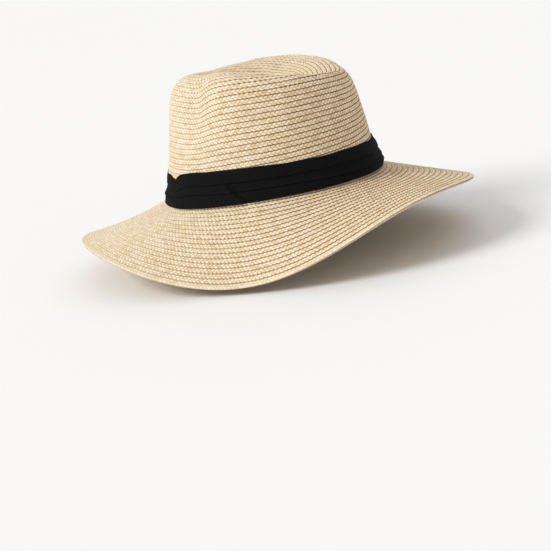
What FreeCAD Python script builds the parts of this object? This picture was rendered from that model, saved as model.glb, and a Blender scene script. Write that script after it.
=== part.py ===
# Wide-brimmed sun hat, sewn from paper-straw braid, millimetres.
# +Z up, the front of the crown (its pinched nose) towards -Y, the wearer's left towards +X.
# The brim's lowest edge rests on z = 0, and the origin is the middle of the hat's bounding box
# at that level. The shapes are worked out about the head's own axis and then moved by REST.
import FreeCAD, Part
import math
import os
import Sketcher

V = FreeCAD.Vector
Z_AXIS = V(0, 0, 1)
TAU = 2 * math.pi
BACK = math.pi / 2

# ---------------------------------------------------------------- driving dimensions
# Lengths in mm and angles in degrees; around the hat 0 is the left side and 90 the back.
# A value that starts with "=" is worked out from the ones above it.
SIZES = [
    # crown: the headline and the wall above it; tapers are mm inwards per mm of height
    ("head_radius", 86.203), ("oval_offset", 16.0), ("base_swell", 1.5), ("band_zone", 33.0),
    ("arch_side", 3.792), ("arch_front_back", 3.213), ("arch_third", -0.282),
    ("taper_front", 0.166), ("taper_back", 0.173), ("taper_side", 0.054), ("crown_foot", 0.5),
    # crown: height of the ridge round the top, and its radius
    ("ridge_side", 111.608), ("ridge_front", 113.264), ("ridge_back", 103.988),
    ("ridge_wave", 0.702),
    ("reach_side", 56.89), ("reach_front", 37.429), ("reach_back", 63.02), ("reach_wave", 7.965),
    ("left_reach", 9.0), ("left_tight", 0.5), ("shoulder_height", 29.1408),
    ("least_turn", 4.0), ("dent_depth", 20.0), ("tip_radius", 2.0),
    # crown: two hollows beside the nose, deepening from pinch_low over pinch_blend of height
    ("pinch_depth", 12.287), ("pinch_angle", 39.0), ("pinch_width", 15.5),
    ("pinch_low", 38.0), ("pinch_blend", 55.0), ("pinch_pull", 0.7),
    # crown: rise and fall of the left ridge
    ("crest_rise", 6.795), ("rise_angle", -27.48), ("rise_spread", 29.997),
    ("crest_fall", 4.012), ("fall_angle", 50.156), ("fall_spread", 44.591),
    # brim
    ("brim_width", 87.426), ("straw_thick", 1.5),
    # brim: droop at the headline, as waves around the hat
    ("droop_mean", 28.486), ("droop_sin1", -8.986), ("droop_cos2", 11.527),
    ("droop_sin3", -7.507), ("droop_cos4", 0.533), ("droop_cos1", -12.171),
    ("droop_sin5", -1.6), ("droop_cos6", 0.24),
    ("right_lift", 14.0), ("right_skew", 0.5), ("back_right_drop", 12.0),
    # brim: droop gained from the headline to the edge
    ("gain_mean", -3.71), ("gain_sin1", 2.372), ("gain_cos2", 5.138),
    ("gain_sin3", -6.358), ("gain_cos4", 3.753), ("gain_cos1", 3.048),
    ("tip_lift", 4.0), ("tip_angle", 70.0), ("tip_spread", 22.0),
    # collar of the brim, lapped up round the foot of the crown
    ("collar_height", 6.5), ("collar_gap", 0.1),
    # edge of the brim
    ("facing_width", 7.5), ("facing_thick", 0.8), ("channel_depth", 1.45),
    ("wire_radius", 0.4), ("wire_inset", 2.6), ("wire_drop", 0.75), ("wire_half_gap", 0.4),
    ("joiner_radius", 0.66), ("joiner_bore", 0.5), ("joiner_length", 9.0), ("bore_overrun", 1.0),
    # band
    ("band_thick", 1.15), ("collar_standoff", 2.45), ("wall_standoff", 0.15),
    ("wrap_thick", 1.0), ("wrap_from", -67.0), ("wrap_to", -24.0), ("wrap_bow", 7.0),
    ("wrap_slant", 11.0), ("wrap_low", 0.9), ("wrap_rise", 31.5), ("wrap_gap", 0.12),
    # sweatband and size tape
    ("sweat_low", 2.2), ("sweat_height", 29.0), ("sweat_layer", 0.5), ("sweat_hollow", 1.5),
    ("sweat_gap", 0.15), ("fold_rise", 1.6),
    ("tape_thick", 0.9), ("tape_low", 8.5), ("tape_high", 21.5),
    ("tape_start", 99.0), ("tape_span", 324.0),
    ("slit_angle", 66.5), ("slit_wide", 2.2), ("slit_deep", 2.0), ("slit_spare", 1.6),
    # size adjuster
    ("tab_centre", 29.3), ("tab_base", 13.0), ("tab_height", 13.0), ("tab_lean", 0.128),
    ("strip_radius", 65.9), ("strip_thick", 0.8), ("pad_thick", 0.8), ("tab_thick", 1.0),
    ("slide_gap", 0.15), ("strip_arc", 44.0), ("pad_arc", 16.0), ("tab_arc", 34.0),
    ("pad_radius", "=strip_radius - strip_thick - slide_gap"),
    ("tab_radius", "=pad_radius - pad_thick"),
    ("lean_run", "=tab_lean * tab_height"),
    # care label
    ("label_width", 24.0), ("label_height", 16.0), ("label_thick", 0.3),
    ("label_half", "=label_width / 2"),
    ("label_angle", 148.0), ("label_low", 6.4), ("label_standoff", 2.6),
    # stitches
    ("stitch_radius", 0.3), ("stitch_length", 4.0), ("stitch_count", 64), ("tack_length", 2.4),
    # where the whole hat stands
    ("rest_x", -3.395), ("rest_y", 0.218), ("rest_z", 63.039),
]

doc = FreeCAD.newDocument("sun_hat")
sheet = doc.addObject("Spreadsheet::Sheet", "sizes")
for row_number, (alias, value) in enumerate(SIZES, start=1):
    sheet.set("A%d" % row_number, alias)
    sheet.set("B%d" % row_number, str(value))
    sheet.setAlias("B%d" % row_number, alias)
doc.recompute()


class Size:
    """The driving dimensions, read back from the sheet by their aliases."""


for alias, _ in SIZES:
    setattr(Size, alias, float(sheet.get(alias)))
REST = V(Size.rest_x, Size.rest_y, Size.rest_z)


# ---------------------------------------------------------------- small helpers
def spread(first, last, count):
    """count numbers in equal steps, both ends included."""
    return [first + (last - first) * i / (count - 1) for i in range(count)]


def smooth(t):
    """Eased step from 0 to 1, level at both ends."""
    t = min(max(t, 0), 1)
    return t * t * (3 - 2 * t)


def bump(off, width):
    return math.exp(-((off / width) ** 2))


def degrees_from(f, middle):
    """Signed angle from middle round to f, within half a turn."""
    return (math.degrees(f) - middle + 180) % 360 - 180


def by_side(f, side, front, back, wave=0.0):
    """Blend around the hat between the values at the sides, the front and the back."""
    at_front, at_back = max(-math.sin(f), 0) ** 2, max(math.sin(f), 0) ** 2
    return (side * math.cos(f) ** 2 + front * at_front + back * at_back
            + wave * math.sin(3 * f))


# ---------------------------------------------------------------- shape of the hat
# f is the angle around the hat in radians, up a height above the headline.
def at(f, r, z):
    """Point on an oval ring, longer from front to back."""
    return V(r * math.cos(f), (r + Size.oval_offset) * math.sin(f), z)


def head_line(f):
    return (Size.arch_side * math.cos(f) ** 2 + Size.arch_front_back * math.sin(f)
            + Size.arch_third * math.sin(3 * f))


def pinch(f):
    off_front = abs(degrees_from(f, -90.0))
    return Size.pinch_depth * bump(off_front - Size.pinch_angle, Size.pinch_width)


def wall(f, z):
    """Outer straw radius of the crown's wall at height z."""
    up = z - head_line(f)
    taper = by_side(f, Size.taper_side, Size.taper_front, Size.taper_back)
    pinched = pinch(f) * smooth((z - Size.pinch_low) / Size.pinch_blend)
    swell = Size.base_swell * min(max(1 - up / Size.band_zone, 0), 1)
    return Size.head_radius - taper * up - pinched - swell


def on_wall(f, up, off):
    """Point standing off the wall's outer face; a negative off lies inside it."""
    z = head_line(f) + up
    return at(f, wall(f, z) + off, z)


def tangent(f):
    """Unit vector along the headline."""
    step = 0.01
    v = (at(f + step, Size.head_radius, head_line(f + step))
         - at(f - step, Size.head_radius, head_line(f - step)))
    v.normalize()
    return v


def yaw(f):
    """Compass angle of the headline's run, in degrees."""
    along = tangent(f)
    return math.degrees(math.atan2(along.y, along.x))


def crest(f):
    """The left ridge is higher towards the front and lower towards the back than the right."""
    angle = degrees_from(f, 0.0)
    return (Size.crest_rise * bump(angle - Size.rise_angle, Size.rise_spread)
            - Size.crest_fall * bump(angle - Size.fall_angle, Size.fall_spread))


WALL_POINTS, TURN_POINTS, DENT_POINTS = 13, 11, 10


def crown_row(f):
    """Points up one meridian: wall, shoulder, ridge and the dent's slope to its tip."""
    left = max(math.cos(f), 0) ** 2
    top = crest(f) + by_side(f, Size.ridge_side, Size.ridge_front, Size.ridge_back,
                             Size.ridge_wave)
    reach = Size.left_reach * left + by_side(f, Size.reach_side, Size.reach_front,
                                             Size.reach_back, Size.reach_wave)
    foot = head_line(f) + Size.crown_foot
    bend = top - Size.shoulder_height * (1 - Size.left_tight * left)
    line = [(wall(f, z), z) for z in spread(foot, bend, WALL_POINTS)]

    # the shoulder is a quadratic curve, its corner where the wall's line meets the top
    bend_r = line[-1][0]
    corner = bend_r + (bend_r - wall(f, bend - 1.0)) * (top - bend)
    ridge = min(reach - Size.pinch_pull * pinch(f), corner - Size.least_turn)
    for t in spread(0, 1, TURN_POINTS)[1:]:
        a, b, c = (1 - t) ** 2, 2 * t * (1 - t), t * t
        line.append((a * bend_r + b * corner + c * ridge, a * bend + (b + c) * top))

    floor = Size.ridge_side - Size.dent_depth
    last = 1 - Size.tip_radius / ridge
    for t in spread(0, last, DENT_POINTS)[1:]:
        line.append((ridge * (1 - t), top - (top - floor) * smooth(t) / smooth(last)))
    return [at(f, r, z) for r, z in line]


def droop(f, u):
    """Droop of the brim in radians at the fraction u of its width."""
    cos1, sin1 = math.cos(f), math.sin(f)
    cos2, sin3, cos4 = math.cos(2 * f), math.sin(3 * f), math.cos(4 * f)
    right, back = max(-cos1, 0), max(sin1, 0)
    start = (Size.droop_mean + Size.droop_sin1 * sin1 + Size.droop_cos2 * cos2
             + Size.droop_sin3 * sin3 + Size.droop_cos4 * cos4 + Size.droop_cos1 * cos1
             + Size.droop_sin5 * math.sin(5 * f) + Size.droop_cos6 * math.cos(6 * f)
             - Size.right_lift * right ** 2 * (1 - Size.right_skew * sin1)
             + Size.back_right_drop * (right * back) ** 1.4)
    gain = (Size.gain_mean + Size.gain_sin1 * sin1 + Size.gain_cos2 * cos2
            + Size.gain_sin3 * sin3 + Size.gain_cos4 * cos4 + Size.gain_cos1 * cos1
            - Size.tip_lift * bump(degrees_from(f, Size.tip_angle), Size.tip_spread))
    return math.radians(start + gain * u)


BRIM_STEPS = 48


def brim_line(f):
    """(r, z) of the brim's upper face, at BRIM_STEPS + 1 equal steps of its width."""
    step = Size.brim_width / BRIM_STEPS
    droops = [droop(f, i / BRIM_STEPS) for i in range(BRIM_STEPS + 1)]
    r, z = Size.head_radius, head_line(f)
    line = [(r, z)]
    for a, b in zip(droops, droops[1:]):
        r += step * (math.cos(a) + math.cos(b)) / 2
        z -= step * (math.sin(a) + math.sin(b)) / 2
        line.append((r, z))
    return line


# ---------------------------------------------------------------- solids from point grids
def ring_angles(count, start=90.0, span=360.0):
    return [math.radians(angle) for angle in spread(start, start + span, count + 1)]


RING = ring_angles(96)


def ring_grid(row_at):
    """One row of points per angle, from the back all the way round; the last is the first."""
    rows = [row_at(f) for f in RING[:-1]]
    return rows + [rows[0]]


def normals(grid):
    """Unit normals of a closed grid: the direction round the ring crossed with the row's."""
    turn, last, out = len(grid) - 1, len(grid[0]) - 1, []
    for i, row in enumerate(grid):
        before, after = grid[(i - 1) % turn], grid[(i + 1) % turn]
        out.append([])
        for j in range(last + 1):
            along = row[min(j + 1, last)] - row[max(j - 1, 0)]
            normal = (after[j] - before[j]).cross(along)
            normal.normalize()
            out[-1].append(normal)
    return out


def moved(grid, directions, by):
    return [[p + v * by for p, v in zip(*pair)] for pair in zip(grid, directions)]


def row_steps(grid):
    """Shared parameters along the rows, by the mean distance between their points."""
    steps = [0.0]
    for j in range(1, len(grid[0])):
        steps.append(steps[-1] + sum((row[j] - row[j - 1]).Length for row in grid) / len(grid))
    return [step / steps[-1] for step in steps]


def interpolated(points, parameters, closed=False):
    curve = Part.BSplineCurve()
    curve.interpolate(Points=points, PeriodicFlag=closed, Parameters=parameters)
    return curve


def surface(grid, closed):
    """Smooth surface through every point of a grid; a closed one runs round without a kink."""
    steps, turns = row_steps(grid), spread(0, 1, len(grid))
    used = grid[:-1] if closed else grid
    rings = [interpolated([row[j] for row in used], turns, closed) for j in range(len(grid[0]))]
    net = [interpolated([ring.getPole(i + 1) for ring in rings], steps)
           for i in range(rings[0].NbPoles)]
    ring, row = rings[0], net[0]
    poles = [[curve.getPole(j + 1) for j in range(row.NbPoles)] for curve in net]
    made = Part.BSplineSurface()
    made.buildFromPolesMultsKnots(
        poles, ring.getMultiplicities(), row.getMultiplicities(),
        ring.getKnots(), row.getKnots(), closed, False, ring.Degree, row.Degree)
    return made


def solid_between(one, two, closed=True, level_end=False):
    """Solid between two matching grids, joined by ruled strips along their borders.
    With level_end each grid's last ring is level and gets a flat lid of its own."""
    first, second = surface(one, closed), surface(two, closed)
    if level_end:
        # bring the last ring exactly into one plane
        for face, grid in ((first, one), (second, two)):
            last = face.NbVPoles
            for i in range(1, face.NbUPoles + 1):
                pole = face.getPole(i, last)
                face.setPole(i, last, V(pole.x, pole.y, grid[0][-1].z))
    faces = [first.toShape(), second.toShape()]
    for k in (2, 3):
        edges = [face.vIso(face.bounds()[k]).toShape() for face in (first, second)]
        if k == 3 and level_end:
            faces += [Part.Face(Part.Wire([edge])) for edge in edges]
        else:
            faces.append(Part.makeRuledSurface(*edges))
    if not closed:
        for k in (0, 1):
            edges = [face.uIso(face.bounds()[k]).toShape() for face in (first, second)]
            faces.append(Part.makeRuledSurface(*edges))
    shell = Part.makeShell(faces)
    shell.sewShape()
    # sewing may wrap the shell in a compound
    solid = Part.makeSolid(shell.Shells[0])
    if solid.Volume < 0:
        solid.reverse()
    return solid


def keep(name, shape):
    """Put a finished shape into the document, where the hat stands."""
    piece = doc.addObject("Part::Feature", name)
    piece.Label = name
    piece.Shape = shape
    piece.Placement = FreeCAD.Placement(REST, FreeCAD.Rotation())
    return piece


# ---------------------------------------------------------------- crown and brim
def make_crown():
    outer = ring_grid(crown_row)
    outward = normals(outer)
    for row in outward:
        row[-1] = Z_AXIS  # keeps the inner face's last ring level too
    inner = moved(outer, outward, -Size.straw_thick)
    return keep("crown_braid", solid_between(outer, inner, level_end=True))


COLLAR_LEVELS = (1.0, 0.72, 0.45)  # fractions of the collar's height
COLLAR_BEND = (0.25, 1.1)          # further out than the collar, height above the headline
BRIM_STATIONS = (2, 4, 7, 11, 16, 21, 26, 31, 36, 40, 44, 46, BRIM_STEPS)


def brim_row(f):
    """Points on the brim's upper face, from the top of its collar to its edge."""
    base, line = head_line(f), brim_line(f)
    off = Size.collar_gap + Size.straw_thick
    further, bend_up = COLLAR_BEND
    row = [on_wall(f, Size.collar_height * level, off) for level in COLLAR_LEVELS]
    row.append(at(f, wall(f, base) + off + further, base + bend_up))
    return row + [at(f, *line[i]) for i in BRIM_STATIONS]


def make_brim():
    top = ring_grid(brim_row)
    under = moved(top, normals(top), Size.straw_thick)
    return keep("brim_braid", solid_between(top, under))


# ---------------------------------------------------------------- edge of the brim
def brim_point(f, u):
    """Point on the brim's upper face at the fraction u of its width."""
    line = brim_line(f)
    i = min(int(u * BRIM_STEPS), BRIM_STEPS - 1)
    t = u * BRIM_STEPS - i
    (r0, z0), (r1, z1) = line[i], line[i + 1]
    return at(f, r0 * (1 - t) + r1 * t, z0 * (1 - t) + z1 * t)


def under_edge(f, inset, gap):
    """Point at a gap below the brim's underside, inset from its edge."""
    turn, step = 0.004, 0.02
    u = 1 - inset / Size.brim_width
    across = brim_point(f + turn, u) - brim_point(f - turn, u)
    along = brim_point(f, min(u + step, 1.0)) - brim_point(f, u - step)
    below = across.cross(along)
    below.normalize()
    if below.z > 0:
        below = below * -1
    return brim_point(f, u) + below * (Size.straw_thick + gap)


# inset from the brim's edge, gap under the brim; bulged out round the wire
FACING_ROW = [
    (Size.facing_width, 0.06), (Size.facing_width - 0.8, 0.12), (Size.facing_width - 2.0, 0.95),
    (Size.wire_inset + 1.2, Size.channel_depth), (Size.wire_inset, Size.channel_depth + 0.05),
    (Size.wire_inset - 1.1, Size.channel_depth), (0.5, 0.85), (0.1, 0.3),
]


def make_facing():
    near, far = [
        ring_grid(lambda f: [under_edge(f, inset, gap + extra) for inset, gap in FACING_ROW])
        for extra in (0.0, Size.facing_thick)]
    return keep("brim_edge_facing", solid_between(near, far))


def wire_at(f):
    return under_edge(f, Size.wire_inset, Size.wire_drop)


def make_wire():
    """Round wire under the edge, its two ends a little apart at the back."""
    gap = Size.wire_half_gap
    points = [wire_at(f) for f in ring_angles(180, 90 + gap, 360 - 2 * gap)]
    path = Part.BSplineCurve()
    path.interpolate(points)
    start = path.tangent(path.FirstParameter)[0]
    circle = Part.Wire([Part.makeCircle(Size.wire_radius, points[0], start)])
    wire = Part.Wire([path.toShape()]).makePipeShell([circle], True, False)
    return keep("brim_edge_wire", wire)


def make_joiner():
    """Crimped sleeve over the wire's ends: a drilled round bar lying along the wire."""
    bar = doc.addObject("Part::Cylinder", "joiner_bar")
    bar.setExpression("Radius", "sizes.joiner_radius")
    bar.setExpression("Height", "sizes.joiner_length")
    bore = doc.addObject("Part::Cylinder", "joiner_hole")
    bore.setExpression("Radius", "sizes.joiner_bore")
    bore.setExpression("Height", "sizes.joiner_length + 2 * sizes.bore_overrun")
    bore.setExpression("Placement.Base.z", "-sizes.bore_overrun")
    joiner = doc.addObject("Part::Cut", "wire_joiner")
    joiner.Base, joiner.Tool = bar, bore
    joiner.Label = "wire_joiner"

    half, step = Size.joiner_length / 2, 0.01
    turn = half * 2 * step / (wire_at(BACK - step) - wire_at(BACK + step)).Length
    start, end = wire_at(BACK + turn), wire_at(BACK - turn)
    run = end - start
    run.normalize()
    # halfway between the chord and the wire's bow
    middle = (start + end) * 0.25 + wire_at(BACK) * 0.5
    joiner.Placement = FreeCAD.Placement(middle - run * half + REST,
                                         FreeCAD.Rotation(Z_AXIS, run))
    return joiner


# ---------------------------------------------------------------- pleated band, wrapped end
# height above the headline, thickness factor over the three lengthwise pleats
BAND_ROW = [
    (1.6, 0.85), (3.0, 1.1), (5.0, 1.25), (7.5, 1.3), (10.0, 1.2),
    (11.2, 0.95), (12.6, 1.25), (15.5, 1.4), (19.0, 1.3), (21.4, 1.0),
    (22.6, 0.8), (24.0, 1.15), (27.0, 1.25), (30.0, 1.1), (33.0, 0.85),
]
STANDOFF_LOW, STANDOFF_BLEND = 7.5, 8.0  # where the band passes from the collar to the wall
WRAP_OVER = 1.42                         # band thicknesses under the wrapped end
WRAP_EDGE, WRAP_SWELL = 0.8, 0.3         # its thickness factor at the edges, gain midway
TACK_HEIGHTS = (0.18, 0.4, 0.62, 0.84)   # fractions of the wrap's height
TACK_BACK = 1.6                          # degrees in from the slanted end


def band_back(up):
    """Standoff of the band's inner face: over the collar below, on the wall above."""
    k = smooth((up - STANDOFF_LOW) / STANDOFF_BLEND)
    return Size.collar_standoff * (1 - k) + Size.wall_standoff * k


def make_band():
    inner, outer = [
        ring_grid(lambda f: [on_wall(f, up, band_back(up) + thick * pleat)
                             for up, pleat in BAND_ROW])
        for thick in (0.0, Size.band_thick)]
    return keep("hat_band", solid_between(inner, outer))


def wrap_end(s):
    """Angle of the wrap's slanted end at the fraction s of its height, in degrees."""
    return Size.wrap_to + Size.wrap_slant * (0.5 - s)


def on_band(f, s, off):
    """Point at the fraction s of the wrap's height, off its inner face."""
    up = Size.wrap_low + Size.wrap_rise * s
    back = band_back(max(up, BAND_ROW[0][0]))
    return on_wall(f, up, back + Size.band_thick * WRAP_OVER + Size.wrap_gap + off)


def make_wrap():
    """The band's free end, folded over it at the front left, its far edge slanted."""
    inner, outer = [], []
    for t in spread(0, 1, 27):
        inner.append([])
        outer.append([])
        for s in spread(0, 1, 11):
            lead = Size.wrap_from + Size.wrap_bow * abs(2 * s - 1.0) ** 4
            f = math.radians(lead + (wrap_end(s) - lead) * t)
            factor = WRAP_EDGE + WRAP_SWELL * math.sin(math.pi * s) ** 2
            inner[-1].append(on_band(f, s, 0.0))
            outer[-1].append(on_band(f, s, Size.wrap_thick * factor))
    return keep("band_wrap", solid_between(inner, outer, closed=False))


# ---------------------------------------------------------------- stitches
def stitches(name, places, length):
    """Short straight stitches along the hat's round; places are (angle, middle point)."""
    made = []
    for f, middle in places:
        along = tangent(f)
        made.append(Part.makeCylinder(Size.stitch_radius, length,
                                      middle - along * (length / 2), along))
    return keep(name, Part.makeCompound(made))


def make_tacks():
    """Tacks that hold the slanted end of the band."""
    off = Size.wrap_thick * (WRAP_EDGE + WRAP_SWELL) + 0.1 + Size.stitch_radius
    places = []
    for s in TACK_HEIGHTS:
        f = math.radians(wrap_end(s) - TACK_BACK)
        places.append((f, on_band(f, s, off)))
    return stitches("band_tack_stitches", places, Size.tack_length)


def stitch_ring(name, shift, up, off):
    """Running stitches all round, shifted by a fraction of their pitch."""
    count = int(Size.stitch_count)
    angles = [TAU * (i + shift) / count for i in range(count)]
    return stitches(name, [(f, on_wall(f, up, off)) for f in angles], Size.stitch_length)


def make_headline_stitching():
    """Stitches through the collar of the brim and the foot of the crown."""
    off = Size.collar_gap + Size.straw_thick + 0.12 + Size.stitch_radius
    return stitch_ring("headline_stitching", 0.0, 4.4, off)


def make_sweatband_stitching():
    return stitch_ring("sweatband_stitching", 0.5, 4.0,
                       -(SWEAT_INNER + 0.14 + Size.stitch_radius))


# ---------------------------------------------------------------- sweatband and size tape
# depths of the sweatband's two sides behind the straw's outer face
SWEAT_OUTER = Size.straw_thick + Size.sweat_gap
SWEAT_INNER = SWEAT_OUTER + 2 * Size.sweat_layer + Size.sweat_hollow
FOLD_UP = Size.sweat_height - Size.fold_rise
SWEAT_UPS = [Size.sweat_low, 6, 10, 15, 20, 24, FOLD_UP]
SLIT_UP = 15


def sweat_row(f, inset):
    """Up the side by the straw, over the fold and down the inner side."""
    middle = (SWEAT_OUTER + SWEAT_INNER) / 2
    half = (SWEAT_INNER - SWEAT_OUTER) / 2 - inset
    row = [on_wall(f, up, -(SWEAT_OUTER + inset)) for up in SWEAT_UPS]
    for turn in (45, 90, 135):
        c, s = math.cos(math.radians(turn)), math.sin(math.radians(turn))
        row.append(on_wall(f, FOLD_UP + half * s, half * c - middle))
    return row + [on_wall(f, up, -(SWEAT_INNER - inset)) for up in reversed(SWEAT_UPS)]


def make_sweatband():
    """Band folded double round a hollow, with a slit where the tape comes out."""
    outside, inside = [ring_grid(lambda f: sweat_row(f, inset))
                       for inset in (0.0, Size.sweat_layer)]
    sweat = solid_between(outside, inside)

    f = math.radians(Size.slit_angle)
    box = V(Size.slit_wide, Size.slit_deep, Size.tape_high - Size.tape_low + Size.slit_spare)
    lie = FreeCAD.Rotation(Z_AXIS, yaw(f))
    middle = on_wall(f, SLIT_UP, -(SWEAT_INNER - Size.sweat_layer / 2))
    slit = Part.makeBox(box.x, box.y, box.z)
    slit.Placement = FreeCAD.Placement(middle - lie.multVec(box * 0.5), lie)
    return keep("sweatband", sweat.cut(slit).Solids[0])


def make_tape():
    """Tape in the middle of the hollow, open at the back."""
    depth = SWEAT_OUTER + Size.sweat_layer + (Size.sweat_hollow - Size.tape_thick) / 2
    angles = ring_angles(84, Size.tape_start, Size.tape_span)
    ups = spread(Size.tape_low, Size.tape_high, 6)
    outer, inner = [[[on_wall(f, up, -deep) for up in ups] for f in angles]
                    for deep in (depth, depth + Size.tape_thick)]
    return keep("size_tape", solid_between(outer, inner, closed=False))


# ---------------------------------------------------------------- sketched bodies
def new_body(name):
    body = doc.addObject("PartDesign::Body", name)
    body.Label = name
    return body


def four_sided(body, name, corners, side_rules, lengths):
    """Sketch on the body's upright plane, its first side on the horizontal axis.
    lengths: (name, kind, geometry and point numbers of both ends, alias)."""
    sketch = body.newObject("Sketcher::SketchObject", name)
    plane = [o for o in body.Origin.OriginFeatures if o.Role == "XZ_Plane"][0]
    sketch.AttachmentSupport = [(plane, "")]
    sketch.MapMode = "FlatFace"
    points = [V(x, y, 0) for x, y in corners]
    for k in range(4):
        sketch.addGeometry(Part.LineSegment(points[k], points[(k + 1) % 4]), False)
    for k in range(4):
        sketch.addConstraint(Sketcher.Constraint("Coincident", k, 2, (k + 1) % 4, 1))
    for rule in [("Horizontal", 0), ("Horizontal", 2)] + side_rules:
        sketch.addConstraint(Sketcher.Constraint(*rule))
    for label, kind, ends, alias in lengths:
        rule = Sketcher.Constraint(kind, *ends, getattr(Size, alias))
        sketch.renameConstraint(sketch.addConstraint(rule), label)
    sketch.addConstraint(Sketcher.Constraint("DistanceY", -1, 1, 0, 1, 0.0))
    for label, _, _, alias in lengths:
        sketch.setExpression("Constraints." + label, "sizes." + alias)
    return sketch


# size adjuster: name, aliases of outer radius, thickness and arc, middle angle in degrees;
# each strip lies inside the one before, round one upright axis
STRIPS = [
    ("loop_strip", "strip_radius", "strip_thick", "strip_arc", 101.0),
    ("hook_pad", "pad_radius", "pad_thick", "pad_arc", 99.0),
    ("size_tab", "tab_radius", "tab_thick", "tab_arc", 91.0),
]


def make_strip(name, radius, thick, arc, middle):
    """A leaning strip: a slanted section turned through an arc."""
    body = new_body(name)
    outer = getattr(Size, radius)
    inner = outer - getattr(Size, thick)
    high, lean = Size.tab_height, Size.lean_run
    corners = [(inner, 0), (outer, 0), (outer - lean, high), (inner - lean, high)]
    section = four_sided(body, name + "_section", corners, [("Parallel", 1, 3)], [
        ("outer_radius", "DistanceX", (-1, 1, 0, 2), radius),
        ("thickness", "DistanceX", (0, 1, 0, 2), thick),
        ("height", "DistanceY", (0, 2, 1, 2), "tab_height"),
        ("lean", "DistanceX", (1, 2, 0, 2), "lean_run"),
    ])
    turned = body.newObject("PartDesign::Revolution", name + "_turned")
    turned.Profile = section
    turned.ReferenceAxis = (section, ["V_Axis"])
    turned.Midplane = True
    turned.setExpression("Angle", "sizes." + arc)
    body.Tip = turned
    body.Placement = FreeCAD.Placement(V(0, Size.tab_centre, Size.tab_base) + REST,
                                       FreeCAD.Rotation(Z_AXIS, middle))
    return body


def make_label():
    """Blank flat care label just inside the sweatband, at the back right."""
    body = new_body("care_label")
    half, high = Size.label_half, Size.label_height
    corners = [(-half, 0), (half, 0), (half, high), (-half, high)]
    upright = [("Vertical", 1), ("Vertical", 3)]
    outline = four_sided(body, "label_outline", corners, upright, [
        ("wide", "DistanceX", (0, 1, 0, 2), "label_width"),
        ("tall", "DistanceY", (1, 1, 1, 2), "label_height"),
        ("half", "DistanceX", (0, 1, -1, 1), "label_half"),
    ])
    pad = body.newObject("PartDesign::Pad", "label_sheet")
    pad.Profile = outline
    pad.setExpression("Length", "sizes.label_thick")
    body.Tip = pad

    # the flat label stands off the curved sweatband by the depth of the curve behind it
    f = math.radians(Size.label_angle)
    foot, along = on_wall(f, Size.label_low, -SWEAT_INNER), tangent(f)
    inward = V(-foot.x, -foot.y, 0)
    inward = inward - along * inward.dot(along)
    inward.normalize()
    body.Placement = FreeCAD.Placement(foot + inward * Size.label_standoff + REST,
                                       FreeCAD.Rotation(Z_AXIS, yaw(f) + 180))
    return body


# ---------------------------------------------------------------- build, check and write
pieces = [
    make_crown(), make_brim(), make_facing(), make_wire(), make_joiner(),
    make_band(), make_wrap(), make_tacks(), make_headline_stitching(),
    make_sweatband(), make_sweatband_stitching(), make_tape(),
]
pieces += [make_strip(*strip) for strip in STRIPS]
pieces.append(make_label())

doc.recompute()
bad = [o.Name for o in doc.Objects if "Invalid" in o.State or "Error" in o.State]
assert not bad, "failed objects: %s" % bad
os.makedirs("parts", exist_ok=True)
for piece in pieces:
    shape = piece.Shape
    assert not shape.isNull(), piece.Label + " is empty"
    assert shape.isValid(), piece.Label + " is not valid"
    assert shape.Solids and all(s.Volume > 0 for s in shape.Solids), piece.Label + " has no volume"
    shape.exportStep("parts/%s.step" % piece.Label)
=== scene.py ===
"""Looks of a straw sun hat: plaited crown and brim, pleated black band, sweatband and size adjuster.

The hat stands upright in its own frame: the front faces -Y, the wearer's left is +X.
Angles f turn about Z from +X, so the front is at -90 degrees and the back at +90.
Shape functions work in millimetres in the hat frame; meshes are metres in the row frame.
"""
import math

import bpy
import numpy as np
from mathutils import Matrix, Vector


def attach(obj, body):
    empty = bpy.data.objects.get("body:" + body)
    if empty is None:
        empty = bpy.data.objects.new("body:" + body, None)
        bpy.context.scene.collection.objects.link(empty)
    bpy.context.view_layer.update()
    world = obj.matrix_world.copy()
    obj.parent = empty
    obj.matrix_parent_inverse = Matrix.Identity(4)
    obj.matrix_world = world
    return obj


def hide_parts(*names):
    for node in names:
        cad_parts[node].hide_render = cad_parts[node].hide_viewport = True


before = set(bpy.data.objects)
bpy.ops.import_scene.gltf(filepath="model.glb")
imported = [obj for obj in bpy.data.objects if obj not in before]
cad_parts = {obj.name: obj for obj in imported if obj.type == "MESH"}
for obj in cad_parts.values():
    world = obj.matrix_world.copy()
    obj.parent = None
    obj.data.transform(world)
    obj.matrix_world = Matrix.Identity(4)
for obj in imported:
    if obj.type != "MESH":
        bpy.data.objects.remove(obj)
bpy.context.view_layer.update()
TAU = 2 * math.pi

# ------------------------------------------------------------------ driving dimensions
REST = np.array([-3.395, 0.218, 63.039])  # the hat frame's origin in the row frame
HEAD_RADIUS = 86.203  # at the sides
OVAL = 16.0  # extra radius towards front and back
STRAW = 1.5  # thickness of the braid
# the headline, where crown and brim meet
ARCH_SIDE, ARCH_FRONT_BACK, ARCH_THIRD = 3.792, 3.213, -0.282
# crown: height of the ridge, its distance from the axis, and the wall's lean inward per mm
RIDGE = dict(side=111.608, front=113.264, back=103.988, wave=0.702)
REACH = dict(side=56.89, front=37.429, back=63.02, wave=7.965)
TAPER = dict(side=0.054, front=0.166, back=0.173)
BASE_SWELL, BAND_ZONE = 1.5, 33.0  # the wall draws in by BASE_SWELL at the foot of the band
PINCH_DEPTH, PINCH_ANGLE, PINCH_WIDTH = 12.287, 39.0, 15.5  # degrees either side of the front
PINCH_FOOT, PINCH_RISE = 38, 55  # height where the pinches start, and over which they deepen
SHOULDER, DENT_DEPTH, TIP_RADIUS = 18.213, 20.0, 2.0
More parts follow.
